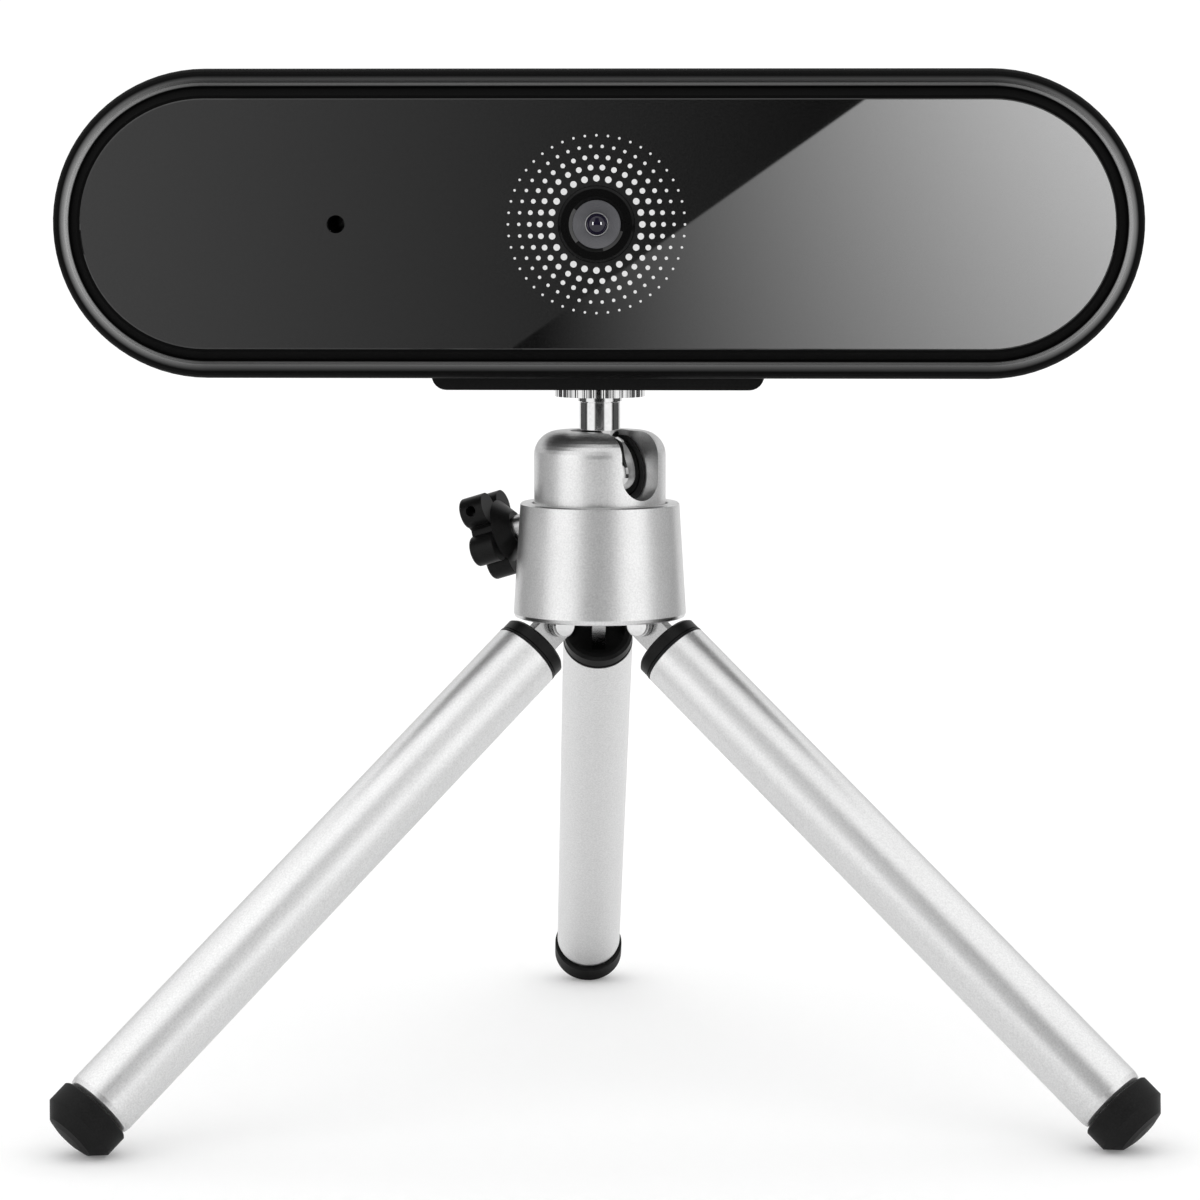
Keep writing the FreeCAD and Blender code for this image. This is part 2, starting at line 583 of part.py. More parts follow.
def make_mount_disc():
    """Fluted finger disc under the webcam's clip."""
    bottom = Vector(0, 0, NECK_TOP)
    top = bottom + Z_AXIS * DISC_THICKNESS
    disc = ring(DISC_RADIUS, SPIGOT_RADIUS, bottom, top)
    flutes = []
    for index in range(DISC_FLUTES):
        offset = azimuth(360.0 * index / DISC_FLUTES, DISC_RADIUS + 0.1)
        flutes.append(cylinder(FLUTE_RADIUS, bottom + offset, top + offset))
    return disc.cut(flutes)


def make_tripod_screw():
    """Tripod screw above the disc, with its thread as plain grooves."""
    bottom = Vector(0, 0, NECK_TOP + DISC_THICKNESS)
    top = bottom + Z_AXIS * SCREW_LENGTH
    screw = cylinder(SCREW_RADIUS, bottom, top)
    height = bottom.z + THREAD_PITCH / 2
    while height < top.z - 0.3:
        groove = turned([(SCREW_RADIUS - THREAD_DEPTH, height), (SCREW_RADIUS + 0.1, height - 0.4),
                         (SCREW_RADIUS + 0.1, height + 0.4)])
        screw = screw.cut(groove)
        height += THREAD_PITCH
    return screw.cut(cylinder(SPIGOT_RADIUS, bottom, bottom + Z_AXIS * SPIGOT_LENGTH))


def make_tripod():
    """Everything from the leg hub up to the tripod screw."""
    export("collar_shell", make_collar())
    export("hinge_hub", make_hub())
    export("leg_hinge_pins", make_leg_pins())
    export("hub_screw", make_hub_screw())
    export("ball_socket_dome", make_dome())
    export("socket_liner", make_liner())
    export("ball_seat", make_ball_seat())
    out, centre = knob_axis()
    export("lock_knob", placed(make_knob(), centre, out, knob_across()))
    export("knob_screw", make_knob_screw())
    export("ball_stem", make_ball_stem())
    export("mount_disc", make_mount_disc())
    export("tripod_screw", make_tripod_screw())


# ---- monitor clip -------------------------------------------------------------------
def knuckle(y, z, x_start, x_end):
    """A hinge knuckle along X."""
    return cylinder(KNUCKLE_RADIUS, Vector(x_start, y, z), Vector(x_end, y, z))


def pin_hole(y, z, radius):
    """A hinge pin's hole along X."""
    return cylinder(radius, Vector(-20, y, z), Vector(20, y, z))


def pad_boxes(z_range):
    """Left and right pad shapes."""
    right = box(PAD_X_RANGE, PAD_Y_RANGE, z_range)
    left = right.mirror(ORIGIN, X_AXIS)
    return [left, right]


def make_clip_foot():
    """Foot plate with rounded lower corners, two outer knuckles and the thread boss."""
    corner = CLIP_HALF_WIDTH - CLIP_BOTTOM_HALF_WIDTH
    outline = [(-CLIP_HALF_WIDTH, FOOT_TOP), (-CLIP_HALF_WIDTH, FOOT_BOTTOM + corner)]
    outline += arc_points((-CLIP_BOTTOM_HALF_WIDTH, FOOT_BOTTOM + corner), corner, 180, 270, 6)[1:]
    outline += arc_points((CLIP_BOTTOM_HALF_WIDTH, FOOT_BOTTOM + corner), corner, 270, 360, 6)
    outline.append((CLIP_HALF_WIDTH, FOOT_TOP))
    points = [Vector(x, CLIP_FRONT, z) for x, z in outline]
    rear = FOOT_HINGE_Y - KNUCKLE_RADIUS - KNUCKLE_GAP
    plate = Part.Face(Part.makePolygon(points + points[:1])).extrude(Y_AXIS * (rear - CLIP_FRONT))
    foot = plate.fuse(cylinder(BOSS_RADIUS, Vector(0, 0, FOOT_BOTTOM), Vector(0, 0, INSERT_TOP)))
    hinge = (FOOT_HINGE_Y, FOOT_HINGE_Z)
    for side in (-1, 1):
        ends = sorted((side * FOOT_KNUCKLE_INNER, side * FOOT_KNUCKLE_OUTER))
        root = box(ends, (rear - 0.5, FOOT_HINGE_Y), (FOOT_HINGE_Z - KNUCKLE_RADIUS, FOOT_TOP))
        foot = foot.fuse([root, knuckle(hinge[0], hinge[1], ends[0], ends[1])])
    foot = foot.removeSplitter().cut(pin_hole(hinge[0], hinge[1], CLIP_PIN_RADIUS))
    pads = pad_boxes((FOOT_TOP - PAD_THICKNESS + PAD_PROUD, FOOT_TOP + 1))
    insert = cylinder(INSERT_RADIUS, Vector(0, 0, FOOT_BOTTOM), Vector(0, 0, INSERT_TOP))
    return foot.cut(pads + [insert])


def make_clip_arm():
    """Arm plate on top of the foot: a centre knuckle below and a wide one above."""
    rear = TILT_HINGE_Y
    plate = box((-CLIP_HALF_WIDTH, CLIP_HALF_WIDTH), (CLIP_FRONT, rear - 2.2), (ARM_BOTTOM, ARM_TOP))
    plate = fillet_where(plate, 0.8, lambda edge: edge.BoundBox.YLength < 0.01
                         and edge.BoundBox.XLength < 0.01 and edge.CenterOfMass.y < 0)
    lower_end = FOOT_KNUCKLE_INNER - KNUCKLE_GAP
    upper_end = TILT_KNUCKLE_OUTER
    lower = knuckle(FOOT_HINGE_Y, FOOT_HINGE_Z, -lower_end, lower_end)
    upper = knuckle(TILT_HINGE_Y, TILT_HINGE_Z, -upper_end, upper_end)
    web_bottom = FOOT_HINGE_Z
    web = box((-lower_end, lower_end), (TILT_HINGE_Y - 1.1, TILT_HINGE_Y + 1.4), (web_bottom, TILT_HINGE_Z))
    bridge = box((-upper_end, upper_end), (rear - 2.4, rear + 0.4), (ARM_BOTTOM + 1.2, TILT_HINGE_Z))
    arm = plate.fuse([lower, upper, web, bridge]).removeSplitter()
    boss_room = cylinder(ARM_HOLE_RADIUS, Vector(0, 0, ARM_BOTTOM - 1), Vector(0, 0, ARM_TOP + 1))
    pads = pad_boxes((ARM_BOTTOM - 1, ARM_BOTTOM + PAD_THICKNESS - PAD_PROUD))
    arm = arm.cut([boss_room] + pads)
    arm = arm.cut(pin_hole(FOOT_HINGE_Y, FOOT_HINGE_Z, CLIP_PIN_RADIUS + CLIP_PIN_CLEARANCE))
    return arm.cut(pin_hole(TILT_HINGE_Y, TILT_HINGE_Z, CLIP_PIN_RADIUS))


def make_thread_insert():
    """Brass insert for the tripod screw."""
    bottom = Vector(0, 0, FOOT_BOTTOM)
    body = cylinder(INSERT_RADIUS, bottom, Vector(0, 0, INSERT_TOP))
    return body.cut(cylinder(INSERT_BORE, bottom, Vector(0, 0, INSERT_TOP - 0.3)))


def make_clip():
    """The folded clip and its pads, insert and pins."""
    export("clip_foot", make_clip_foot())
    export("clip_arm", make_clip_arm())
    export("thread_insert", make_thread_insert())
    foot_low = FOOT_TOP - PAD_THICKNESS + PAD_PROUD
    arm_high = ARM_BOTTOM + PAD_THICKNESS - PAD_PROUD
    export("foot_pads", Part.makeCompound(pad_boxes((foot_low, FOOT_TOP + PAD_PROUD))))
    export("arm_pads", Part.makeCompound(pad_boxes((ARM_BOTTOM - PAD_PROUD, arm_high))))
    foot_pin_end = FOOT_KNUCKLE_OUTER - 0.2
    tilt_pin_end = POCKET_HALF_WIDTH + 0.6
    for name, y, z, end in (("foot_hinge_pin", FOOT_HINGE_Y, FOOT_HINGE_Z, foot_pin_end),
                            ("tilt_hinge_pin", TILT_HINGE_Y, TILT_HINGE_Z, tilt_pin_end)):
        export(name, cylinder(CLIP_PIN_RADIUS, Vector(-end, y, z), Vector(end, y, z)))


# ---- webcam -------------------------------------------------------------------------
def pocket_shape(grow):
    """The clip's pocket in the housing's underside, open below and behind."""
    half = POCKET_HALF_WIDTH + grow
    return box((-half, half), (POCKET_FRONT - grow, BODY_BACK_Y + 5), (FOOT_BOTTOM - 5, POCKET_TOP + grow))


def case_screw_points():
    """Places of the four case screws, on the housing's back."""
    points = []
    for x in (-CASE_SCREWS_X, CASE_SCREWS_X):
        for dz in (-CASE_SCREWS_DZ, CASE_SCREWS_DZ):
            points.append(Vector(x, 0, BODY_CENTRE_Z + dz))
    return points


def board_post_points():
    """Places of the four board screws."""
    return [Vector(x, 0, z) for x in (-BOARD_POSTS_X, BOARD_POSTS_X) for z in BOARD_POSTS_Z]


def at_y(point, y):
    """The same point at another depth."""
    return Vector(point.x, y, point.z)


def screw_posts():
    """Posts inside the housing for the board and for the case screws."""
    back = BODY_BACK_Y - SHELL_WALL / 2
    board_back = BOARD_FRONT_Y + BOARD_THICKNESS
    posts = []
    for point in board_post_points():
        posts.append(cylinder(BOARD_POST_RADIUS, at_y(point, board_back), at_y(point, back)))
    for point in case_screw_points():
        posts.append(cylinder(CASE_BOSS_RADIUS, at_y(point, CASE_BOSS_START), at_y(point, back)))
    return posts


def screw_bores():
    """Screw holes in the housing's posts, and the case screws' sunk seats."""
    post_end = BODY_BACK_Y - SHELL_WALL - 2.0
    seat = BODY_BACK_Y - CASE_SCREW_SUNK
    bores = []
    for point in board_post_points():
        bores.append(cylinder(SCREW_SHANK_RADIUS, at_y(point, BOARD_FRONT_Y), at_y(point, post_end)))
    for point in case_screw_points():
        start = at_y(point, BEZEL_BACK_Y)
        bores.append(cylinder(SCREW_SHANK_RADIUS + 0.2, start, at_y(point, BODY_BACK_Y)))
        bores.append(cylinder(SCREW_HEAD_RADIUS + 0.15, at_y(point, seat), at_y(point, BODY_BACK_Y + 1)))
    return bores


def tilt_lugs():
    """Two lugs inside the pocket that carry the tilt hinge's pin."""
    inner = TILT_KNUCKLE_OUTER + LUG_GAP
    outer = POCKET_HALF_WIDTH + 0.1
    half = 1.2
    lugs = []
    for ends in ((inner, outer), (-outer, -inner)):
        lugs.append(knuckle(TILT_HINGE_Y, TILT_HINGE_Z, ends[0], ends[1]))
        depth = (TILT_HINGE_Y - half, TILT_HINGE_Y + half)
        lugs.append(box(ends, depth, (TILT_HINGE_Z, POCKET_TOP + 0.1)))
    return lugs


def make_rear_housing():
    """Main shell: rounded back, pocket for the clip, lugs, board posts and screw bosses."""
    rounding = BODY_BACK_ROUNDING
    corner = (BODY_RADIUS - rounding, BODY_BACK_Y - rounding)
    outer = [(0, BEZEL_BACK_Y), (BODY_RADIUS, BEZEL_BACK_Y)]
    outer += arc_points(corner, rounding, 0, 90, 10) + [(0, BODY_BACK_Y)]
    inner = [(0, BEZEL_BACK_Y - 1), (BODY_RADIUS - SHELL_WALL, BEZEL_BACK_Y - 1)]
    inner += arc_points(corner, rounding - SHELL_WALL, 0, 90, 10)
    inner.append((0, BODY_BACK_Y - SHELL_WALL))
    cavity = stadium(inner).cut([pocket_shape(POCKET_WALL)] + screw_posts())
    housing = stadium(outer).cut(cavity).cut([pocket_shape(0)] + screw_bores())
    housing = max(housing.Solids, key=lambda solid: solid.Volume)
    housing = housing.fuse(tilt_lugs()).removeSplitter()
    pin_reach = POCKET_HALF_WIDTH + 0.7
    pin_room = pin_hole(TILT_HINGE_Y, TILT_HINGE_Z, CLIP_PIN_RADIUS + CLIP_PIN_CLEARANCE)
    pin_room = pin_room.common(box((-pin_reach, pin_reach), (0, BODY_BACK_Y), (0, BODY_CENTRE_Z)))
    entry = Vector(GROMMET_X, BODY_BACK_Y - SHELL_WALL - 0.5, GROMMET_Z)
    grommet_hole = cylinder(GROMMET_RADIUS, entry, at_y(entry, BODY_BACK_Y + 1))
    return housing.cut([pin_room, grommet_hole])


def make_front_bezel():
    """Front frame: a lip round the face panel, sides, and a ledge behind the panel."""
    panel_back = FACE_Y + PANEL_THICKNESS
    ledge = PANEL_RADIUS - 1.6
    wall = BODY_RADIUS - SHELL_WALL - 0.1
    lip_centre = (BODY_RADIUS - BEZEL_LIP, FACE_Y + BEZEL_LIP + 0.8)
    outer = [(0, FACE_Y + 0.15), (PANEL_RADIUS + 0.3, FACE_Y + 0.15), (PANEL_RADIUS + 1.1, FACE_Y + 1.0)]
    outer += arc_points(lip_centre, BEZEL_LIP, -100, 0, 8)
    outer += [(BODY_RADIUS, BEZEL_BACK_Y), (0, BEZEL_BACK_Y)]
    seat = PANEL_RADIUS + 0.02
    panel_seat = stadium([(0, FACE_Y - 1), (seat, FACE_Y - 1), (seat, panel_back), (0, panel_back)])
    inside = stadium([(0, FACE_Y), (ledge, FACE_Y), (ledge, FACE_Y + 2.4),
                      (wall, FACE_Y + 3.2), (wall, 0), (0, 0)])
    bezel = stadium(outer).cut([panel_seat, inside, pocket_shape(0)])
    bosses = []
    bores = []
    for point in case_screw_points():
        bosses.append(cylinder(BOARD_POST_RADIUS, at_y(point, panel_back), at_y(point, CASE_BOSS_START)))
        bores.append(cylinder(SCREW_SHANK_RADIUS, at_y(point, panel_back + 1.0), at_y(point, 0)))
    return bezel.fuse(bosses).removeSplitter().cut(bores)


def make_face_panel():
    """Dark glossy front panel with holes for the lens ring and the microphone."""
    back = FACE_Y + PANEL_THICKNESS
    edge = 0.12
    panel = stadium([(0, FACE_Y), (PANEL_RADIUS - edge, FACE_Y), (PANEL_RADIUS, FACE_Y + edge),
                     (PANEL_RADIUS, back), (0, back)])
    lens = Vector(0, 0, BODY_CENTRE_Z)
    mic = Vector(MIC_X, 0, BODY_CENTRE_Z)
    holes = [cylinder(LENS_RING_RADIUS + 0.05, at_y(lens, FACE_Y - 1), at_y(lens, back + 1)),
             cylinder(MIC_HOLE_RADIUS, at_y(mic, FACE_Y - 1), at_y(mic, back + 1))]
    return panel.cut(holes)


def lens_turned(profile):
    """A solid turned about the lens axis, from (radius, y) points."""
    points = [Vector(radius, y, 0) for radius, y in profile]
    face = Part.Face(Part.makePolygon(points + points[:1]))
    return face.revolve(ORIGIN, Y_AXIS, 360).translated(Vector(0, 0, BODY_CENTRE_Z))


def make_lens_parts():
    """Ring, barrel and glass elements, from front to back."""
    front = FACE_Y - LENS_RING_PROUD
    seat = FACE_Y + 1.1
    ring_back = FACE_Y + 1.8
    flange = BARREL_RADIUS + 0.02
    export("lens_ring", lens_turned([
        (LENS_RING_BORE, front + 0.3), (LENS_RING_BORE + 0.3, front), (LENS_RING_RADIUS - 0.25, front),
        (LENS_RING_RADIUS, front + 0.25), (LENS_RING_RADIUS, ring_back), (flange, ring_back),
        (flange, seat), (LENS_RING_BORE, seat)]))
    cone_y = BARREL_FRONT_Y + 0.9
    mouth = LENS_RING_BORE - 0.05
    export("lens_barrel", lens_turned([
        (FRONT_LENS_RADIUS, cone_y), (mouth, BARREL_FRONT_Y), (mouth, seat + 0.02),
        (BARREL_RADIUS, seat + 0.02), (BARREL_RADIUS, BARREL_BACK_Y), (BARREL_BORE, BARREL_BACK_Y),
        (BARREL_BORE, cone_y + 3.0), (FRONT_LENS_RADIUS, cone_y + 1.9)]))
    export("front_lens", lens_turned([
        (0, cone_y - 0.35), (FRONT_LENS_RADIUS * 0.55, cone_y - 0.24), (FRONT_LENS_RADIUS, cone_y + 0.05),
        (FRONT_LENS_RADIUS, cone_y + 1.5), (0, cone_y + 1.3)]))
    export("rear_lens", lens_turned([
        (0, cone_y + 4.2), (BARREL_BORE, cone_y + 4.5), (BARREL_BORE, cone_y + 5.6), (0, cone_y + 6.0)]))


def make_sensor_parts():
    """Lens holder on the board, with the filter and the image sensor inside it."""
    half = HOLDER_HALF
    room = SENSOR_ROOM
    z_mid = BODY_CENTRE_Z
    start = Vector(0, HOLDER_FRONT_Y, z_mid)
    barrel_end = BARREL_BACK_Y + 0.2
    body_front = HOLDER_FRONT_Y + HOLDER_NECK
    holder = box((-half, half), (body_front, BOARD_FRONT_Y), (z_mid - half, z_mid + half))
    holder = holder.fuse(cylinder(HOLDER_NECK_RADIUS, start, at_y(start, body_front + 0.4)))
    holder = holder.cut(cylinder(BARREL_RADIUS, start, at_y(start, barrel_end)))
    tall = (z_mid - room, z_mid + room)
    cavity = box((-room, room), (barrel_end, BOARD_FRONT_Y), tall)
    export("lens_holder", holder.cut(cavity).removeSplitter())
    filter_y = BARREL_BACK_Y + 0.6
    export("ir_filter", box((-room, room), (filter_y, filter_y + FILTER_THICKNESS), tall))
    sensor_depth = (BOARD_FRONT_Y - SENSOR_THICKNESS, BOARD_FRONT_Y)
    sensor_tall = (z_mid - SENSOR_HALF, z_mid + SENSOR_HALF)
    export("image_sensor", box((-SENSOR_HALF, SENSOR_HALF), sensor_depth, sensor_tall))


def make_board():
    """Main board with its four screws."""
    back = BOARD_FRONT_Y + BOARD_THICKNESS
    half = BOARD_HALF_LENGTH
    board = box((-half, half), (BOARD_FRONT_Y, back), (BOARD_BOTTOM_Z, BOARD_TOP_Z))
    hole = SCREW_SHANK_RADIUS + 0.05
    holes = []
    screws = []
    for point in board_post_points():
        front = at_y(point, BOARD_FRONT_Y)
        holes.append(cylinder(hole, at_y(point, BOARD_FRONT_Y - 1), at_y(point, back + 1)))
        head = cylinder(SCREW_HEAD_RADIUS, at_y(point, BOARD_FRONT_Y - 1), front)
        shank = cylinder(SCREW_SHANK_RADIUS, front, at_y(point, back + 4))
        screws.append(head.fuse(shank).removeSplitter())
    export("main_board", board.cut(holes))
    export("board_screws", Part.makeCompound(screws))


def make_electronics():
    """Board, microphone with its gasket, and the USB header."""
    make_board()
    mic = Vector(MIC_X, 0, BODY_CENTRE_Z)
    mic_front = BOARD_FRONT_Y - MIC_THICKNESS
    start = at_y(mic, FACE_Y + PANEL_THICKNESS)
    export("mic_gasket", ring(GASKET_RADIUS, MIC_HOLE_RADIUS, start, at_y(mic, mic_front)))
    mic_x = (mic.x - MIC_HALF, mic.x + MIC_HALF)
    mic_z = (mic.z - MIC_HALF, mic.z + MIC_HALF)
    export("microphone", box(mic_x, (mic_front, BOARD_FRONT_Y), mic_z))
    back = BOARD_FRONT_Y + BOARD_THICKNESS
    wall = HEADER_WALL
    header = box(HEADER_X, (back, back + HEADER_DEPTH), (BODY_CENTRE_Z, BODY_CENTRE_Z + HEADER_HEIGHT))
    room = box((HEADER_X[0] + wall, HEADER_X[1] - wall), (back + 1, back + HEADER_DEPTH + 1),
               (BODY_CENTRE_Z + wall, BODY_CENTRE_Z + HEADER_HEIGHT - wall))
    export("usb_header", header.cut(room))


def make_grommet():
    """Rubber grommet in the housing's back, the USB cable's inlet."""
    wall = BODY_BACK_Y - SHELL_WALL
    centre = Vector(GROMMET_X, 0, GROMMET_Z)
    inner_end = at_y(centre, wall - GROMMET_INSIDE)
    outer_end = at_y(centre, BODY_BACK_Y + GROMMET_OUTSIDE)
    inner_flange = cylinder(GROMMET_FLANGE_RADIUS, at_y(centre, wall - 1), at_y(centre, wall))
    outer_flange = cylinder(GROMMET_FLANGE_RADIUS, at_y(centre, BODY_BACK_Y),
                            at_y(centre, BODY_BACK_Y + GROMMET_FLANGE))
    body = cylinder(GROMMET_RADIUS, inner_end, outer_end)
    body = body.fuse([inner_flange, outer_flange]).removeSplitter()
    return body.cut(cylinder(CABLE_BORE_RADIUS, inner_end, outer_end))


def make_case_screws():
    """Four case screws in the housing's back, with cross recesses."""
    seat = BODY_BACK_Y - CASE_SCREW_SUNK
    head_top = seat + SCREW_HEAD_HEIGHT
    screws = []
    for point in case_screw_points():
        head = cylinder(SCREW_HEAD_RADIUS, at_y(point, seat), at_y(point, head_top))
        shank = cylinder(SCREW_SHANK_RADIUS, at_y(point, BEZEL_BACK_Y - 2.5), at_y(point, seat))
        screw = head.fuse(shank).removeSplitter()
        for wide, tall in (CROSS_RECESS, CROSS_RECESS[::-1]):
            recess = box((point.x - wide, point.x + wide), (head_top - 0.6, head_top + 1),
                         (point.z - tall, point.z + tall))
            screw = screw.cut(recess)
        screws.append(screw)
    return Part.makeCompound(screws)


def make_webcam():
    """The webcam's shells, optics and electronics."""
    export("rear_housing", make_rear_housing())
    export("front_bezel", make_front_bezel())
    export("face_panel", make_face_panel())
    make_lens_parts()
    make_sensor_parts()
    make_electronics()
    export("cable_grommet", make_grommet())
    export("case_screws", make_case_screws())


os.makedirs("parts", exist_ok=True)
make_legs()
make_tripod()
make_clip()
make_webcam()
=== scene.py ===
"""Looks of the webcam on its mini tripod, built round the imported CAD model."""

import json
import math

import bpy
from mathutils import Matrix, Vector


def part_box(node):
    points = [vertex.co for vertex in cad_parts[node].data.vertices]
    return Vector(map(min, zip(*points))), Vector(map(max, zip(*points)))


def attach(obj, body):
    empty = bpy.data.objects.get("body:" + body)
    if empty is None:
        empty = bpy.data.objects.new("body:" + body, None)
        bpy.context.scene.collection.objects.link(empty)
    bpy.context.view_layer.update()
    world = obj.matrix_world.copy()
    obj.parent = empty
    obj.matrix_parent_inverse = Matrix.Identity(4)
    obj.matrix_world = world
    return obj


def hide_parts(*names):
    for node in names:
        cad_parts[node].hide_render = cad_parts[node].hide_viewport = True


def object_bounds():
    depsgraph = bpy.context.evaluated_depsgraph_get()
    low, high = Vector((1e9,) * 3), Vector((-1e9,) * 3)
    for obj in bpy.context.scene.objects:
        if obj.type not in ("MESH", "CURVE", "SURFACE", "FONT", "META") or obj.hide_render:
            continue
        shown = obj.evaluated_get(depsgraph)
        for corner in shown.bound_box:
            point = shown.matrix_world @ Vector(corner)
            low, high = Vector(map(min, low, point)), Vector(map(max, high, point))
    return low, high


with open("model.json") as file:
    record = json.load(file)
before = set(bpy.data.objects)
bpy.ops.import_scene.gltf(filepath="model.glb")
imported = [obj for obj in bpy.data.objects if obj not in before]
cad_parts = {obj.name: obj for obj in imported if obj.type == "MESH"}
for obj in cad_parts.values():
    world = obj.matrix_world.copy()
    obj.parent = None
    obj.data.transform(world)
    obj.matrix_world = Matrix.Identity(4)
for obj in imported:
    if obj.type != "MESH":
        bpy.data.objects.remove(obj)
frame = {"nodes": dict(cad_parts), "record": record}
cad_low, cad_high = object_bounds()

MM = 0.001
NODES = frame["nodes"]
WHITE = (1.0, 1.0, 1.0, 1.0)
SMOOTH_ANGLE = math.radians(32.0)   # edges sharper than this stay crisp

RISING = (0.0, 1.0)
FALLING = (1.0, 0.0)
NOISE_RANGE = (0.3, 0.7)            # where most of a noise's values lie


# ---------------------------------------------------------------- node helpers

def new_material(name):
    """A node material: its tree and its main shader."""
    material = bpy.data.materials.new(name)
    material.use_nodes = True
    tree = material.node_tree
    return material, tree, tree.nodes["Principled BSDF"]


def node(tree, kind, values=(), **settings):
    """A new node with its inputs and its settings."""
    made = tree.nodes.new(kind)
    for key, value in settings.items():
        setattr(made, key, value)
    for key, value in dict(values).items():
        made.inputs[key].default_value = value
    return made


def join(tree, output, target):
    """A link from an output to an input."""
    tree.links.new(output, target)


def maths(tree, operation, first, second=0.0):
    """The output of one Math node, whose inputs are numbers or outputs."""
    made = node(tree, "ShaderNodeMath", operation=operation)
    for socket, value in zip(made.inputs, (first, second)):
        if isinstance(value, (int, float)):
            socket.default_value = value
        else:
            join(tree, value, socket)
    return made.outputs["Value"]


def coordinates(tree, kind="Object"):
    """The piece's own coordinates in metres, or Generated ones from 0 to 1 across it."""
    return node(tree, "ShaderNodeTexCoord").outputs[kind]


def split(tree, vector):
    """The X, Y and Z outputs of a vector, by name."""
    made = node(tree, "ShaderNodeSeparateXYZ")
    join(tree, vector, made.inputs["Vector"])
    return made.outputs


def noise(tree, vector, size_mm, detail=2.0, roughness=0.5):
    """Noise with features of about the size given."""
    made = node(tree, "ShaderNodeTexNoise",
                {"Scale": 1.0 / (size_mm * MM), "Detail": detail, "Roughness": roughness})
    join(tree, vector, made.inputs["Vector"])
    return made.outputs["Fac"]


def grain(tree, vector, size_mm):
    """The fine noise that most surfaces have."""
    return noise(tree, vector, size_mm, detail=3.0, roughness=0.6)


def spread(tree, value, source, target):
    """A value carried from one range to another, and held inside it."""
    made = node(tree, "ShaderNodeMapRange",
                {"From Min": source[0], "From Max": source[1], "To Min": target[0], "To Max": target[1]})
    join(tree, value, made.inputs["Value"])
    return made.outputs["Result"]


def weighted(tree, first, first_share, second, second_share):
    """The sum of two outputs, each times its share."""
    return maths(tree, "ADD", maths(tree, "MULTIPLY", first, first_share),
                 maths(tree, "MULTIPLY", second, second_share))


RAMP_ENDS = (0.25, 0.75)            # the ramp's colours are pure outside these


def blended(tree, factor, dark, light):
    """A colour between two colours or grey levels."""
    dark, light = ((shade,) * 3 if isinstance(shade, float) else shade for shade in (dark, light))
    ramp = node(tree, "ShaderNodeValToRGB")
    for element, position, shade in zip(ramp.color_ramp.elements, RAMP_ENDS, (dark, light)):
        element.position = position
        element.color = (*shade, 1.0)
    join(tree, factor, ramp.inputs["Fac"])
    return ramp.outputs["Color"]


def bumped(tree, shader, height, depth_mm):
    """Relief on a shader's surface, of the depth given."""
    bump = node(tree, "ShaderNodeBump", {"Distance": depth_mm * MM})
    join(tree, height, bump.inputs["Height"])
    join(tree, bump.outputs["Normal"], shader.inputs["Normal"])


# ---------------------------------------------------------------- materials

PATCH_MM = 6.0                      # size of the slow patches in a surface's gloss
GRAIN_SHARE = 0.4                   # of the gloss, to the fine grain and to the patches
PATCH_SHARE = 0.6


def grained(name, dark, light, rough, grain_mm, relief_mm, extras):
    """A surface with fine grain in its colour and relief, and slow patches in its gloss."""
    material, tree, shader = new_material(name)
    vector = coordinates(tree)
    fine = grain(tree, vector, grain_mm)
    join(tree, blended(tree, fine, dark, light), shader.inputs["Base Color"])
    mixed = weighted(tree, fine, GRAIN_SHARE, noise(tree, vector, PATCH_MM), PATCH_SHARE)
    join(tree, spread(tree, mixed, NOISE_RANGE, rough), shader.inputs["Roughness"])
    bumped(tree, shader, fine, relief_mm)
    for socket, value in extras.items():
        shader.inputs[socket].default_value = value
    return material


def rim_distance(tree):
    """Distance in mm from the middle line of the webcam's round-ended outline, and how far round
    the ends it is: 0 along the straights, 1 at the tips."""
    low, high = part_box("front_bezel")
    middle = (low.z + high.z) / 2.0
    straight = (high.x - low.x) / 2.0 - (high.z - low.z) / 2.0
    place = split(tree, coordinates(tree))
    along = maths(tree, "SUBTRACT", maths(tree, "ABSOLUTE", place["X"]), straight)
    along = maths(tree, "MAXIMUM", along, 0.0)
    up = maths(tree, "SUBTRACT", place["Z"], middle)
    square = maths(tree, "ADD", maths(tree, "MULTIPLY", along, along), maths(tree, "MULTIPLY", up, up))
    distance = maths(tree, "SQRT", square)
    return maths(tree, "MULTIPLY", distance, 1.0 / MM), maths(tree, "DIVIDE", along, distance)


# the lip's span: its mask carries the metal, the gloss and a painted highlight that fades outward
LIP_STARTS = (13.68, 13.80)         # mm from the middle line of the webcam's outline
LIP_FADES = (14.05, 14.70)
PAINTED_LIP_HIGHLIGHT = (0.11, 0.32)           # painted highlight in the lip's colour: along the straights, and brighter at the ends
BEZEL_SHADES = (0.002, 0.004)
BEZEL_ROUGHNESS = (0.46, 0.20)      # of the plain plastic, and of the lip
BEZEL_SPECULAR = 0.03
BEZEL_GRAIN_MM = 0.14
BEZEL_RELIEF_MM = 0.003


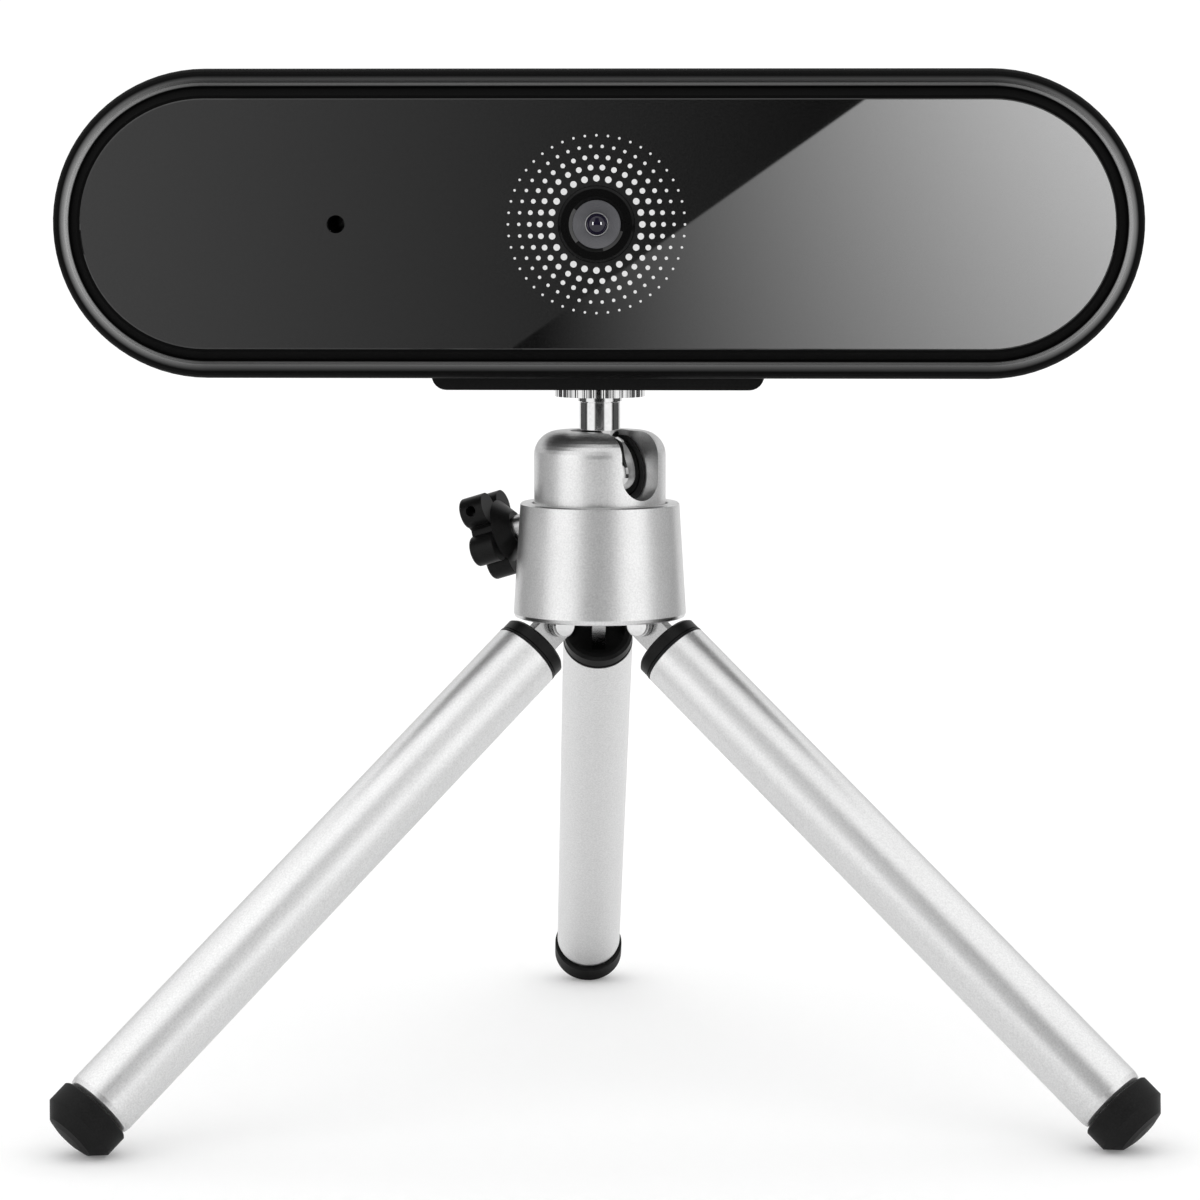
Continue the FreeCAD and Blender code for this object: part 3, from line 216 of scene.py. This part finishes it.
def bezel_material():
    """Black plastic, with a lip polished to a dark mirror and a painted highlight in its colour, brightest
    at the lip's inner edge and most of all round the webcam's ends.
    """
    material, tree, shader = new_material("bezel_plastic")
    fine = grain(tree, coordinates(tree), BEZEL_GRAIN_MM)
    distance, round_end = rim_distance(tree)
    lip = maths(tree, "MULTIPLY", spread(tree, distance, LIP_STARTS, RISING),
                spread(tree, distance, LIP_FADES, FALLING))
    # painted highlight: the lip's grey colour, lighter round the webcam's ends
    shade = maths(tree, "MULTIPLY", lip, spread(tree, round_end, RISING, PAINTED_LIP_HIGHLIGHT))
    total = maths(tree, "ADD", spread(tree, fine, NOISE_RANGE, BEZEL_SHADES), shade)
    grey = node(tree, "ShaderNodeCombineColor")
    for channel in ("Red", "Green", "Blue"):
        join(tree, total, grey.inputs[channel])
    join(tree, grey.outputs["Color"], shader.inputs["Base Color"])
    join(tree, lip, shader.inputs["Metallic"])
    join(tree, spread(tree, lip, RISING, BEZEL_ROUGHNESS), shader.inputs["Roughness"])
    shader.inputs["Specular IOR Level"].default_value = BEZEL_SPECULAR
    bumped(tree, shader, fine, BEZEL_RELIEF_MM)
    return material


BARREL_SHADES = ((0.085, 0.085, 0.092), (0.145, 0.145, 0.155))
BARREL_ROUGHNESS = (0.34, 0.44)
BARREL_METALLIC = 0.6
BARREL_RINGS = {"Scale": 1.0 / (0.45 * MM), "Distortion": 0.3, "Detail": 1.0}
BARREL_GRAIN_MM = 0.10
BARREL_GRAIN_SHARE = 0.7            # of the colour, to the grain and to the rings
BARREL_RING_SHARE = 0.3
BARREL_RELIEF_MM = 0.002


def lens_place():
    """The lens axis in the row frame: its x and its z."""
    low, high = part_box("front_lens")
    return (low.x + high.x) / 2.0, (low.z + high.z) / 2.0


def barrel_material():
    """The lens barrel's grey cone, turned on a lathe, with its fine rings."""
    material, tree, shader = new_material("lens_barrel_metal")
    x, z = lens_place()
    centred = node(tree, "ShaderNodeMapping", {"Location": (-x, 0.0, -z)})
    join(tree, coordinates(tree), centred.inputs["Vector"])
    rings = node(tree, "ShaderNodeTexWave", BARREL_RINGS, wave_type="RINGS", rings_direction="Y")
    join(tree, centred.outputs["Vector"], rings.inputs["Vector"])
    fine = noise(tree, centred.outputs["Vector"], BARREL_GRAIN_MM)
    mixed = weighted(tree, fine, BARREL_GRAIN_SHARE, rings.outputs["Fac"], BARREL_RING_SHARE)
    join(tree, blended(tree, mixed, *BARREL_SHADES), shader.inputs["Base Color"])
    join(tree, spread(tree, fine, NOISE_RANGE, BARREL_ROUGHNESS), shader.inputs["Roughness"])
    shader.inputs["Metallic"].default_value = BARREL_METALLIC
    bumped(tree, shader, rings.outputs["Fac"], BARREL_RELIEF_MM)
    return material


PLAIN = {}
METAL = {"Metallic": 1.0}
SOFT_BLACK = {"Specular IOR Level": 0.12}
CLEAR_COAT = {"Specular IOR Level": 0.0, "Coat Weight": 1.0, "Coat Roughness": 0.01}

# slot or detail: dark and light shade of the grain, roughness range, grain size and relief in mm, extras
FINISHES = {
    "satin_aluminium": (0.64, 0.84, (0.33, 0.41), 0.18, 0.010, METAL),
    "inner_tube_steel": (0.62, 0.74, (0.16, 0.24), 0.10, 0.002, METAL),
    "polished_chrome": (0.56, 0.64, (0.03, 0.07), 0.50, 0.0003, METAL),
    "hinge_steel": (0.36, 0.46, (0.16, 0.26), 0.15, 0.003, METAL),
    "fastener_steel": (0.38, 0.50, (0.25, 0.35), 0.10, 0.003, METAL),
    "black_leg_plastic": (0.004, 0.010, (0.28, 0.42), 0.15, 0.006, SOFT_BLACK),
    "foot_rubber": (0.005, 0.012, (0.42, 0.58), 0.20, 0.010, SOFT_BLACK),
    "knob_plastic": (0.004, 0.010, (0.26, 0.38), 0.14, 0.006, SOFT_BLACK),
    "liner_plastic": (0.020, 0.036, (0.40, 0.55), 0.20, 0.006, SOFT_BLACK),
    "insert_brass": ((0.60, 0.45, 0.20), (0.76, 0.58, 0.28), (0.20, 0.32), 0.12, 0.003, METAL),
    "clip_plastic": (0.003, 0.008, (0.38, 0.50), 0.18, 0.010, SOFT_BLACK),
    "pad_rubber": (0.016, 0.028, (0.60, 0.75), 0.30, 0.020, SOFT_BLACK),
    "housing_plastic": (0.004, 0.010, (0.36, 0.48), 0.18, 0.010, SOFT_BLACK),
    "face_gloss": (0.000, 0.016, (0.45, 0.60), 0.16, 0.004, CLEAR_COAT),
    "lens_ring_plastic": (0.002, 0.005, (0.14, 0.22), 0.12, 0.002, SOFT_BLACK),
    "sensor_black": (0.03, 0.06, (0.12, 0.20), 0.30, 0.001, PLAIN),
    "board_green": ((0.012, 0.12, 0.04), (0.03, 0.22, 0.08), (0.25, 0.38), 0.90, 0.010, PLAIN),
    "microphone_metal": (0.50, 0.64, (0.22, 0.32), 0.12, 0.003, METAL),
    "header_white": ((0.70, 0.68, 0.62), (0.84, 0.82, 0.76), (0.40, 0.52), 0.20, 0.006, PLAIN),
    "lens_glass": ((0.004, 0.003, 0.010), (0.008, 0.006, 0.016), (0.02, 0.04), 0.80, 0.0002, PLAIN),
    "filter_glass": ((0.10, 0.16, 0.20), (0.14, 0.22, 0.26), (0.04, 0.08), 0.80, 0.0002, PLAIN),
    "printed_ink": (0.74, 0.86, (0.40, 0.50), 0.08, 0.001, PLAIN),
    "lens_rim_bright": (0.46, 0.54, (0.28, 0.34), 0.10, 0.001, METAL),
    # the two lugs are one grey plastic: the left one is painted lighter as lit, the right one darker as
    # painted shade
    "lens_mouth_lug_left_painted_light": (0.045, 0.075, (0.35, 0.45), 0.10, 0.002, PLAIN),
    "lens_mouth_lug_right_painted_shade": (0.014, 0.026, (0.35, 0.45), 0.10, 0.002, PLAIN),
}


def make_materials():
    """One material for each slot of the record, and those of the printed and turned details."""
    made = {"bezel_plastic": bezel_material(), "lens_barrel_metal": barrel_material()}
    for name, finish in FINISHES.items():
        made[name] = grained(name, *finish)
    return made


def smooth(mesh):
    """Smooth shading between the mesh's sharp edges."""
    mesh.polygons.foreach_set("use_smooth", [True] * len(mesh.polygons))
    mesh.set_sharp_from_angle(angle=SMOOTH_ANGLE)


def dress_nodes(materials):
    """Every CAD node gets its slot's material and smooth shading."""
    slots = {part["node"]: part["material_slot"] for part in frame["record"]["subparts"]}
    for name, item in NODES.items():
        item.data.materials.clear()
        item.data.materials.append(materials[slots[name]])
        smooth(item.data)


# ---------------------------------------------------------------- objects

def add_object(name, data):
    """A new object in the scene, from its data."""
    made = bpy.data.objects.new(name, data)
    bpy.context.scene.collection.objects.link(made)
    return made


def mesh_object(name, points, faces, material):
    """A new mesh object of one material."""
    data = bpy.data.meshes.new(name)
    data.from_pydata([tuple(p) for p in points], [], faces)
    data.update()
    data.materials.append(material)
    return add_object(name, data)


def upright_card(name, across, y, up, material):
    """A flat card that faces along Y, from its ranges in x and z."""
    (left, right), (low, high) = across, up
    corners = [(left, y, low), (right, y, low), (right, y, high), (left, y, high)]
    return mesh_object(name, corners, [(0, 1, 2, 3)], material)


# ---------------------------------------------------------------- camera

CAMERA_PLACE = Vector((0.0123, -0.4266, 0.0966))
CAMERA_PITCH = 6.07                 # degrees below the horizon
CAMERA_YAW = 1.65                   # degrees to the left
CAMERA_LENS = 124.6                 # mm, for a sensor of the width below
CAMERA_SENSOR = 36.0
CAMERA_CLIP = (0.01, 100.0)


def make_camera():
    """The photo's view."""
    data = bpy.data.cameras.new("camera")
    data.lens = CAMERA_LENS
    data.sensor_width = CAMERA_SENSOR
    data.clip_start, data.clip_end = CAMERA_CLIP
    camera = add_object("camera", data)
    camera.location = CAMERA_PLACE
    camera.rotation_euler = (math.radians(90.0 - CAMERA_PITCH), 0.0, math.radians(CAMERA_YAW))
    bpy.context.scene.camera = camera


# ---------------------------------------------------------------- room

# sine of the height above the horizon, and the room's brightness there
SKY_LEVELS = ((-1.0, 0.60), (0.05, 0.60), (0.50, 1.00), (0.82, 1.30), (1.0, 1.00))
SKY_SEEN = 1.06                     # the backdrop's own brightness, to the eye

FLOOR_REACH = 6.0
FLOOR_GRAIN_MM = 1.5
FLOOR_SHADES = (0.84, 0.88)
FLOOR_ROUGHNESS = (0.85, 0.95)
FLOOR_RELIEF_MM = 0.02
FLOOR_FADE = (0.22, 0.50)           # metres from the object
FLOOR_GLOWS = (0.05, 0.0)           # near and far, where only reflections see it
FLOOR_SEEN_GLOW = 0.15              # to the eye


def eye_or_mirror(tree, hidden, seen):
    """One level for the eye, and another for all that isn't seen straight from the camera."""
    eye = node(tree, "ShaderNodeLightPath").outputs["Is Camera Ray"]
    dimmed = maths(tree, "MULTIPLY", hidden, maths(tree, "SUBTRACT", 1.0, eye))
    return maths(tree, "ADD", dimmed, maths(tree, "MULTIPLY", eye, seen))


def make_world():
    """A soft room, brighter overhead, with a white backdrop."""
    world = bpy.data.worlds.new("studio")
    world.use_nodes = True
    tree = world.node_tree
    background = tree.nodes["Background"]
    height = split(tree, coordinates(tree, "Generated"))["Z"]
    total = SKY_LEVELS[0][1]
    for (low, dim), (high, bright) in zip(SKY_LEVELS, SKY_LEVELS[1:]):
        rise = spread(tree, height, (low, high), (0.0, bright - dim))
        total = maths(tree, "ADD", rise, total)
    join(tree, eye_or_mirror(tree, total, SKY_SEEN), background.inputs["Strength"])
    background.inputs["Color"].default_value = WHITE
    bpy.context.scene.world = world


def make_floor():
    """A pale table. It glows a little, and less with distance where only reflections see it."""
    material, tree, shader = new_material("floor_paper")
    fine = noise(tree, coordinates(tree), FLOOR_GRAIN_MM)
    join(tree, blended(tree, fine, *FLOOR_SHADES), shader.inputs["Base Color"])
    join(tree, spread(tree, fine, NOISE_RANGE, FLOOR_ROUGHNESS), shader.inputs["Roughness"])
    bumped(tree, shader, fine, FLOOR_RELIEF_MM)
    away = node(tree, "ShaderNodeVectorMath", operation="LENGTH")
    join(tree, coordinates(tree), away.inputs[0])
    near = spread(tree, away.outputs["Value"], FLOOR_FADE, FLOOR_GLOWS)
    join(tree, eye_or_mirror(tree, near, FLOOR_SEEN_GLOW), shader.inputs["Emission Strength"])
    shader.inputs["Emission Color"].default_value = WHITE
    reach = FLOOR_REACH
    corners = [(-reach, -reach, 0.0), (reach, -reach, 0.0), (reach, reach, 0.0), (-reach, reach, 0.0)]
    floor = mesh_object("floor", corners, [(0, 1, 2, 3)], material)


# ---------------------------------------------------------------- lights and cards

def compass(azimuth, elevation):
    """Direction from the object: azimuth 0 is towards the camera's side, 90 is towards +X."""
    a, e = math.radians(azimuth), math.radians(elevation)
    return Vector((math.sin(a) * math.cos(e), -math.cos(a) * math.cos(e), math.sin(e)))


def glowing(name, strength_of, *values):
    """A material that only gives light, as strong as strength_of makes it."""
    material = bpy.data.materials.new(name)
    material.use_nodes = True
    tree = material.node_tree
    tree.nodes.remove(tree.nodes["Principled BSDF"])
    emission = node(tree, "ShaderNodeEmission")
    join(tree, emission.outputs["Emission"], tree.nodes["Material Output"].inputs["Surface"])
    join(tree, strength_of(tree, *values), emission.inputs["Strength"])
    return material


def light_only(source, name, receivers):
    """Light linking: a lamp or a card lights only the pieces given."""
    group = bpy.data.collections.new(name)
    for item in receivers:
        group.objects.link(item)
    source.light_linking.receiver_collection = group


def only_in_reflections(card):
    """A card that only mirrors see, and that casts no shadow."""
    card.visible_camera = False
    card.visible_diffuse = False
    card.visible_shadow = False
    card.visible_transmission = False


# azimuth, distance, width, lowest and highest point in metres, brightness. The first two are the
# bright ones at the sides; the others are dimmer than the room, and darken what reflects them.
STUDIO_CARDS = (
    (-51.0, 0.42, 0.47, 0.0, 0.22, 1.42),
    (50.0, 0.42, 0.47, 0.0, 0.22, 1.42),
    (0.0, 1.0, 0.50, 0.16, 1.00, 0.10),
    (-20.0, 1.0, 0.22, 0.0, 0.30, 0.05),
    (20.0, 1.0, 0.22, 0.0, 0.30, 0.05),
    (-107.0, 0.42, 0.44, 0.0, 0.068, 0.12),
    (107.0, 0.42, 0.44, 0.0, 0.068, 0.12),
)
CARD_MIDDLE = 0.5                   # of the card's width
SIDE_FADE = (0.30, 0.5)             # of the card's width, from its middle


def soft_sides(tree, strength):
    """Full strength in the middle of a card, fading to nothing at its sides."""
    across = split(tree, coordinates(tree, "Generated"))["X"]
    away = maths(tree, "ABSOLUTE", maths(tree, "SUBTRACT", across, CARD_MIDDLE))
    return maths(tree, "MULTIPLY", spread(tree, away, SIDE_FADE, FALLING), strength)


def make_studio_cards():
    """Bright and dark cards that stand round the object, soft at their sides, for it to reflect."""
    for index, (azimuth, distance, width, low, high, strength) in enumerate(STUDIO_CARDS):
        name = "studio_card_%d" % index
        half = width / 2.0
        card = upright_card(name, (-half, half), 0.0, (low, high), glowing(name, soft_sides, strength))
        card.location = compass(azimuth, 0.0) * distance
        card.rotation_euler = (0.0, 0.0, math.radians(azimuth))
        only_in_reflections(card)


FACE_CARD_DEPTH = 1.0               # metres in front of the object
FACE_CARD_X = (-0.26, 0.24)
FACE_CARD_Z = (0.0, 0.16)

# where the card's light changes, as seen in the face: mm from the face's middle
FACE_EDGE = ((-3.7, -9.0), (26.7, 12.4))
DIM_LEFT = (-52.0, 0.0)
DIM_RIGHT = (0.0, 22.0)
BRIGHT_ACROSS = (-6.0, 52.0)
BRIGHT_UP = (-12.0, 12.0)

FACE_EDGE_BLUR = (-0.0004, 0.0004)  # metres on the card
DIM_LEFT_LEVELS = (0.80, 0.0)
DIM_RIGHT_LEVELS = (0.28, 0.0)
BRIGHT_LEVEL = 11.5
BRIGHT_CURVE = 1.2
BRIGHT_UP_LEVELS = (0.80, 1.15)


def face_to_card(x_mm, z_mm):
    """Where the camera sees a point of the card in the flat face, from the point on the face."""
    low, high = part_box("face_panel")
    further = (FACE_CARD_DEPTH + low.y) / (low.y - CAMERA_PLACE.y)
    x = x_mm * MM
    z = (low.z + high.z) / 2.0 + z_mm * MM
    return (x + (x - CAMERA_PLACE.x) * further, z + (z - CAMERA_PLACE.z) * further)


def across_card(span):
    """A range across the face, carried to the card."""
    return tuple(face_to_card(at, 0.0)[0] for at in span)


def up_card(span):
    """A range up the face, carried to the card."""
    return tuple(face_to_card(0.0, at)[1] for at in span)


def face_card_strength(tree):
    """Dim at the left and nearly black in the middle, and bright beyond a slanting edge."""
    place = split(tree, coordinates(tree))
    x, z = place["X"], place["Z"]
    (x1, z1), (x2, z2) = (face_to_card(*point) for point in FACE_EDGE)
    slope = (z2 - z1) / (x2 - x1)
    over = maths(tree, "SUBTRACT", maths(tree, "MULTIPLY", x, slope), z)
    side = spread(tree, maths(tree, "ADD", over, z1 - slope * x1), FACE_EDGE_BLUR, RISING)
    dim = maths(tree, "ADD", spread(tree, x, across_card(DIM_LEFT), DIM_LEFT_LEVELS),
                spread(tree, x, across_card(DIM_RIGHT), DIM_RIGHT_LEVELS))
    slow = maths(tree, "POWER", spread(tree, x, across_card(BRIGHT_ACROSS), RISING), BRIGHT_CURVE)
    tall = spread(tree, z, up_card(BRIGHT_UP), BRIGHT_UP_LEVELS)
    bright = maths(tree, "MULTIPLY", maths(tree, "MULTIPLY", slow, BRIGHT_LEVEL), tall)
    return maths(tree, "ADD", dim, maths(tree, "MULTIPLY", side, maths(tree, "SUBTRACT", bright, dim)))


def make_face_card(receivers):
    """A studio card before the face, which only the face reflects."""
    card = upright_card("face_card", FACE_CARD_X, -FACE_CARD_DEPTH, FACE_CARD_Z,
                        glowing("face_card_light", face_card_strength))
    light_only(card, "card_receivers", receivers)
    only_in_reflections(card)


def make_light(name, place, target, size, power):
    """A white rectangular lamp aimed at a point."""
    data = bpy.data.lights.new(name, "AREA")
    data.shape = "RECTANGLE"
    data.size, data.size_y = size
    data.energy = power
    light = add_object(name, data)
    light.location = place
    aim = Vector(target) - Vector(place)
    light.rotation_mode = "QUATERNION"
    light.rotation_quaternion = aim.to_track_quat("-Z", "Y")
    return light


SOFTBOX_PLACE = (-0.2, -0.25, 0.9)
SOFTBOX_TARGET = (0.0, 0.0, 0.05)
SOFTBOX_SIZE = (0.7, 0.5)
SOFTBOX_POWER = 0.3

AIM_BELOW_TOP = 0.015               # metres: about half the webcam's height
LENS_GLASS_PIECES = ("front_lens_dome", "front_lens_rim")
# lights for a few pieces only: name, azimuth, elevation, distance, width and height in metres, watts, pieces
LINKED_LIGHTS = (
    ("lens_glint_left", -27.0, 4.0, 0.40, (0.045, 0.130), 0.55, LENS_GLASS_PIECES),
    ("lens_glint_right", 27.0, 4.0, 0.40, (0.045, 0.130), 0.55, LENS_GLASS_PIECES),
    ("lip_light", 0.0, 0.0, 0.80, (0.35, 0.12), 0.16, ("front_bezel",)),
    ("shoulder_light", -6.0, 28.0, 0.90, (0.25, 0.25), 0.25, ("ball_socket_dome",)),
)


def make_linked_lights():
    """Lamps for single highlights, which light nothing else."""
    middle = Vector((0.0, 0.0, cad_high[2] - AIM_BELOW_TOP))
    for name, azimuth, elevation, distance, size, power, pieces in LINKED_LIGHTS:
        place = middle + compass(azimuth, elevation) * distance
        light = make_light(name, place, middle, size, power)
        light_only(light, name + "_receivers", [bpy.data.objects[piece] for piece in pieces])


def make_studio():
    """The room, the table, the cards and the lamps."""
    bpy.context.scene.view_settings.view_transform = "Standard"
    make_world()
    make_floor()
    make_studio_cards()
    make_light("softbox_top", SOFTBOX_PLACE, SOFTBOX_TARGET, SOFTBOX_SIZE, SOFTBOX_POWER)
    make_face_card([NODES["face_panel"]])
    make_linked_lights()


# ---------------------------------------------------------------- details

def ride_with(piece, body):
    """A piece moves with a body."""
    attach(piece, body)


# number of dots, radius of the ring and diameter of a dot in mm
DOT_RINGS = ((24, 4.57, 0.66), (30, 5.65, 0.57), (36, 6.68, 0.47), (42, 7.73, 0.34), (48, 8.81, 0.25))
DOT_SIDES = 20
INK_PROUD = 0.012                   # mm in front of the face


def circle(centre_across, centre_up, radius, count):
    """Points evenly round a circle, as pairs."""
    points = []
    for index in range(count):
        angle = 2.0 * math.pi * index / count
        points.append((centre_across + radius * math.cos(angle), centre_up + radius * math.sin(angle)))
    return points


def make_printed_dots(materials):
    """Five rings of printed dots round the lens, smaller and closer outwards."""
    low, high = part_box("face_panel")
    centre = (low + high) / 2.0
    front = low.y - INK_PROUD * MM
    points, faces = [], []
    for count, radius, size in DOT_RINGS:
        for x, z in circle(centre.x, centre.z, radius * MM, count):
            faces.append(tuple(range(len(points), len(points) + DOT_SIDES)))
            points += [(edge_x, front, edge_z) for edge_x, edge_z in circle(x, z, size / 2 * MM, DOT_SIDES)]
    dots = mesh_object("printed_dots", points, faces, materials["printed_ink"])
    ride_with(dots, "webcam")


FULL_TURN = (0.0, 360.0)
TURN_STEP = 5.0                     # degrees
FEWEST_STEPS = 6


def turned(name, profile, material, span=FULL_TURN):
    """A piece turned round the lens axis from (radius, y) points in mm, over a span in degrees."""
    x, z = lens_place()
    begin, end = span
    closed = span == FULL_TURN
    steps = max(FEWEST_STEPS, round((end - begin) / TURN_STEP))
    rows = steps if closed else steps + 1
    count = len(profile)
    points, faces = [], []
    for row in range(rows):
        angle = math.radians(begin + (end - begin) * row / steps)
        for radius, y in profile:
            points.append((x + radius * MM * math.cos(angle), y * MM, z + radius * MM * math.sin(angle)))
    for step in range(steps):
        near, far = step * count, (step + 1) % rows * count
        for index in range(count):
            after = (index + 1) % count
            faces.append((near + index, far + index, far + after, near + after))
    if not closed:
        faces.append(tuple(range(count)))
        faces.append(tuple(steps * count + index for index in reversed(range(count))))
    piece = mesh_object(name, points, faces, material)
    smooth(piece.data)
    return piece


DOME_HEIGHT = 0.40                  # mm from the glass's edge to its middle
DOME_STEPS = 12
DOME_HUB = 0.004                    # mm left open at the middle, so that no face shrinks to a point
RIM_SECTION = 0.06                  # mm, the radius of the ring's round section
RIM_SIDES = 10
RIM_OUTSET = 0.6                    # of that radius, from the glass's edge to the section's middle
RIM_FORWARD = 0.16                  # mm in front of the glass's edge
LUG_RADII = (2.42, 2.74)            # mm; the lens ring's mouth slopes at 45 degrees between them
LUG_FRONTS = (-0.05, -0.02)         # mm from the slope at each radius
LUG_BACKS = (-0.01, 0.02)
# one lug is painted lighter as lit and the other darker as painted shade
LUG_SPANS = {"lens_mouth_lug_left_painted_light": (145.0, 222.0), "lens_mouth_lug_right_painted_shade": (285.0, 345.0)}


def make_lens_dome(materials, radius, front, back):
    """The domed front glass, which stands for the CAD's flat one."""
    bend = (radius ** 2 + DOME_HEIGHT ** 2) / (2.0 * DOME_HEIGHT)
    profile = []
    for step in range(DOME_STEPS + 1):
        at = max(radius * step / DOME_STEPS, DOME_HUB)
        profile.append((at, front + bend - math.sqrt(bend ** 2 - at ** 2)))
    profile += [(radius, back), (DOME_HUB, back)]
    dome = turned("front_lens_dome", profile, materials["lens_glass"])
    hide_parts("front_lens")
    ride_with(dome, "webcam")


def make_lens_rim(materials, radius, front):
    """The bright ring round the front glass."""
    middle = front + DOME_HEIGHT - RIM_FORWARD
    section = circle(radius + RIM_SECTION * RIM_OUTSET, middle, RIM_SECTION, RIM_SIDES)
    rim = turned("front_lens_rim", section, materials["lens_rim_bright"])
    ride_with(rim, "webcam")


def make_mouth_lugs(materials):
    """The two lugs that lie on the slope of the lens ring's mouth, of one grey: the left one painted lighter
    as lit, the right one darker as painted shade.
    """
    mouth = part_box("lens_ring")[0].y / MM
    inner, outer = LUG_RADII
    slope = (mouth + outer - inner, mouth)
    section = [(inner, slope[0] + LUG_BACKS[0]), (inner, slope[0] + LUG_FRONTS[0]),
               (outer, slope[1] + LUG_FRONTS[1]), (outer, slope[1] + LUG_BACKS[1])]
    for name, span in LUG_SPANS.items():
        lug = turned(name, section, materials[name], span)
        ride_with(lug, "webcam")


def make_lens_details(materials):
    """The domed front glass, the bright ring round it and the two grey lugs in the lens ring's mouth."""
    low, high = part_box("front_lens")
    radius = (high.x - low.x) / 2.0 / MM
    front, back = low.y / MM, high.y / MM
    make_lens_dome(materials, radius, front, back)
    make_lens_rim(materials, radius, front)
    make_mouth_lugs(materials)


materials = make_materials()
dress_nodes(materials)
make_printed_dots(materials)
make_lens_details(materials)
make_camera()
make_studio()
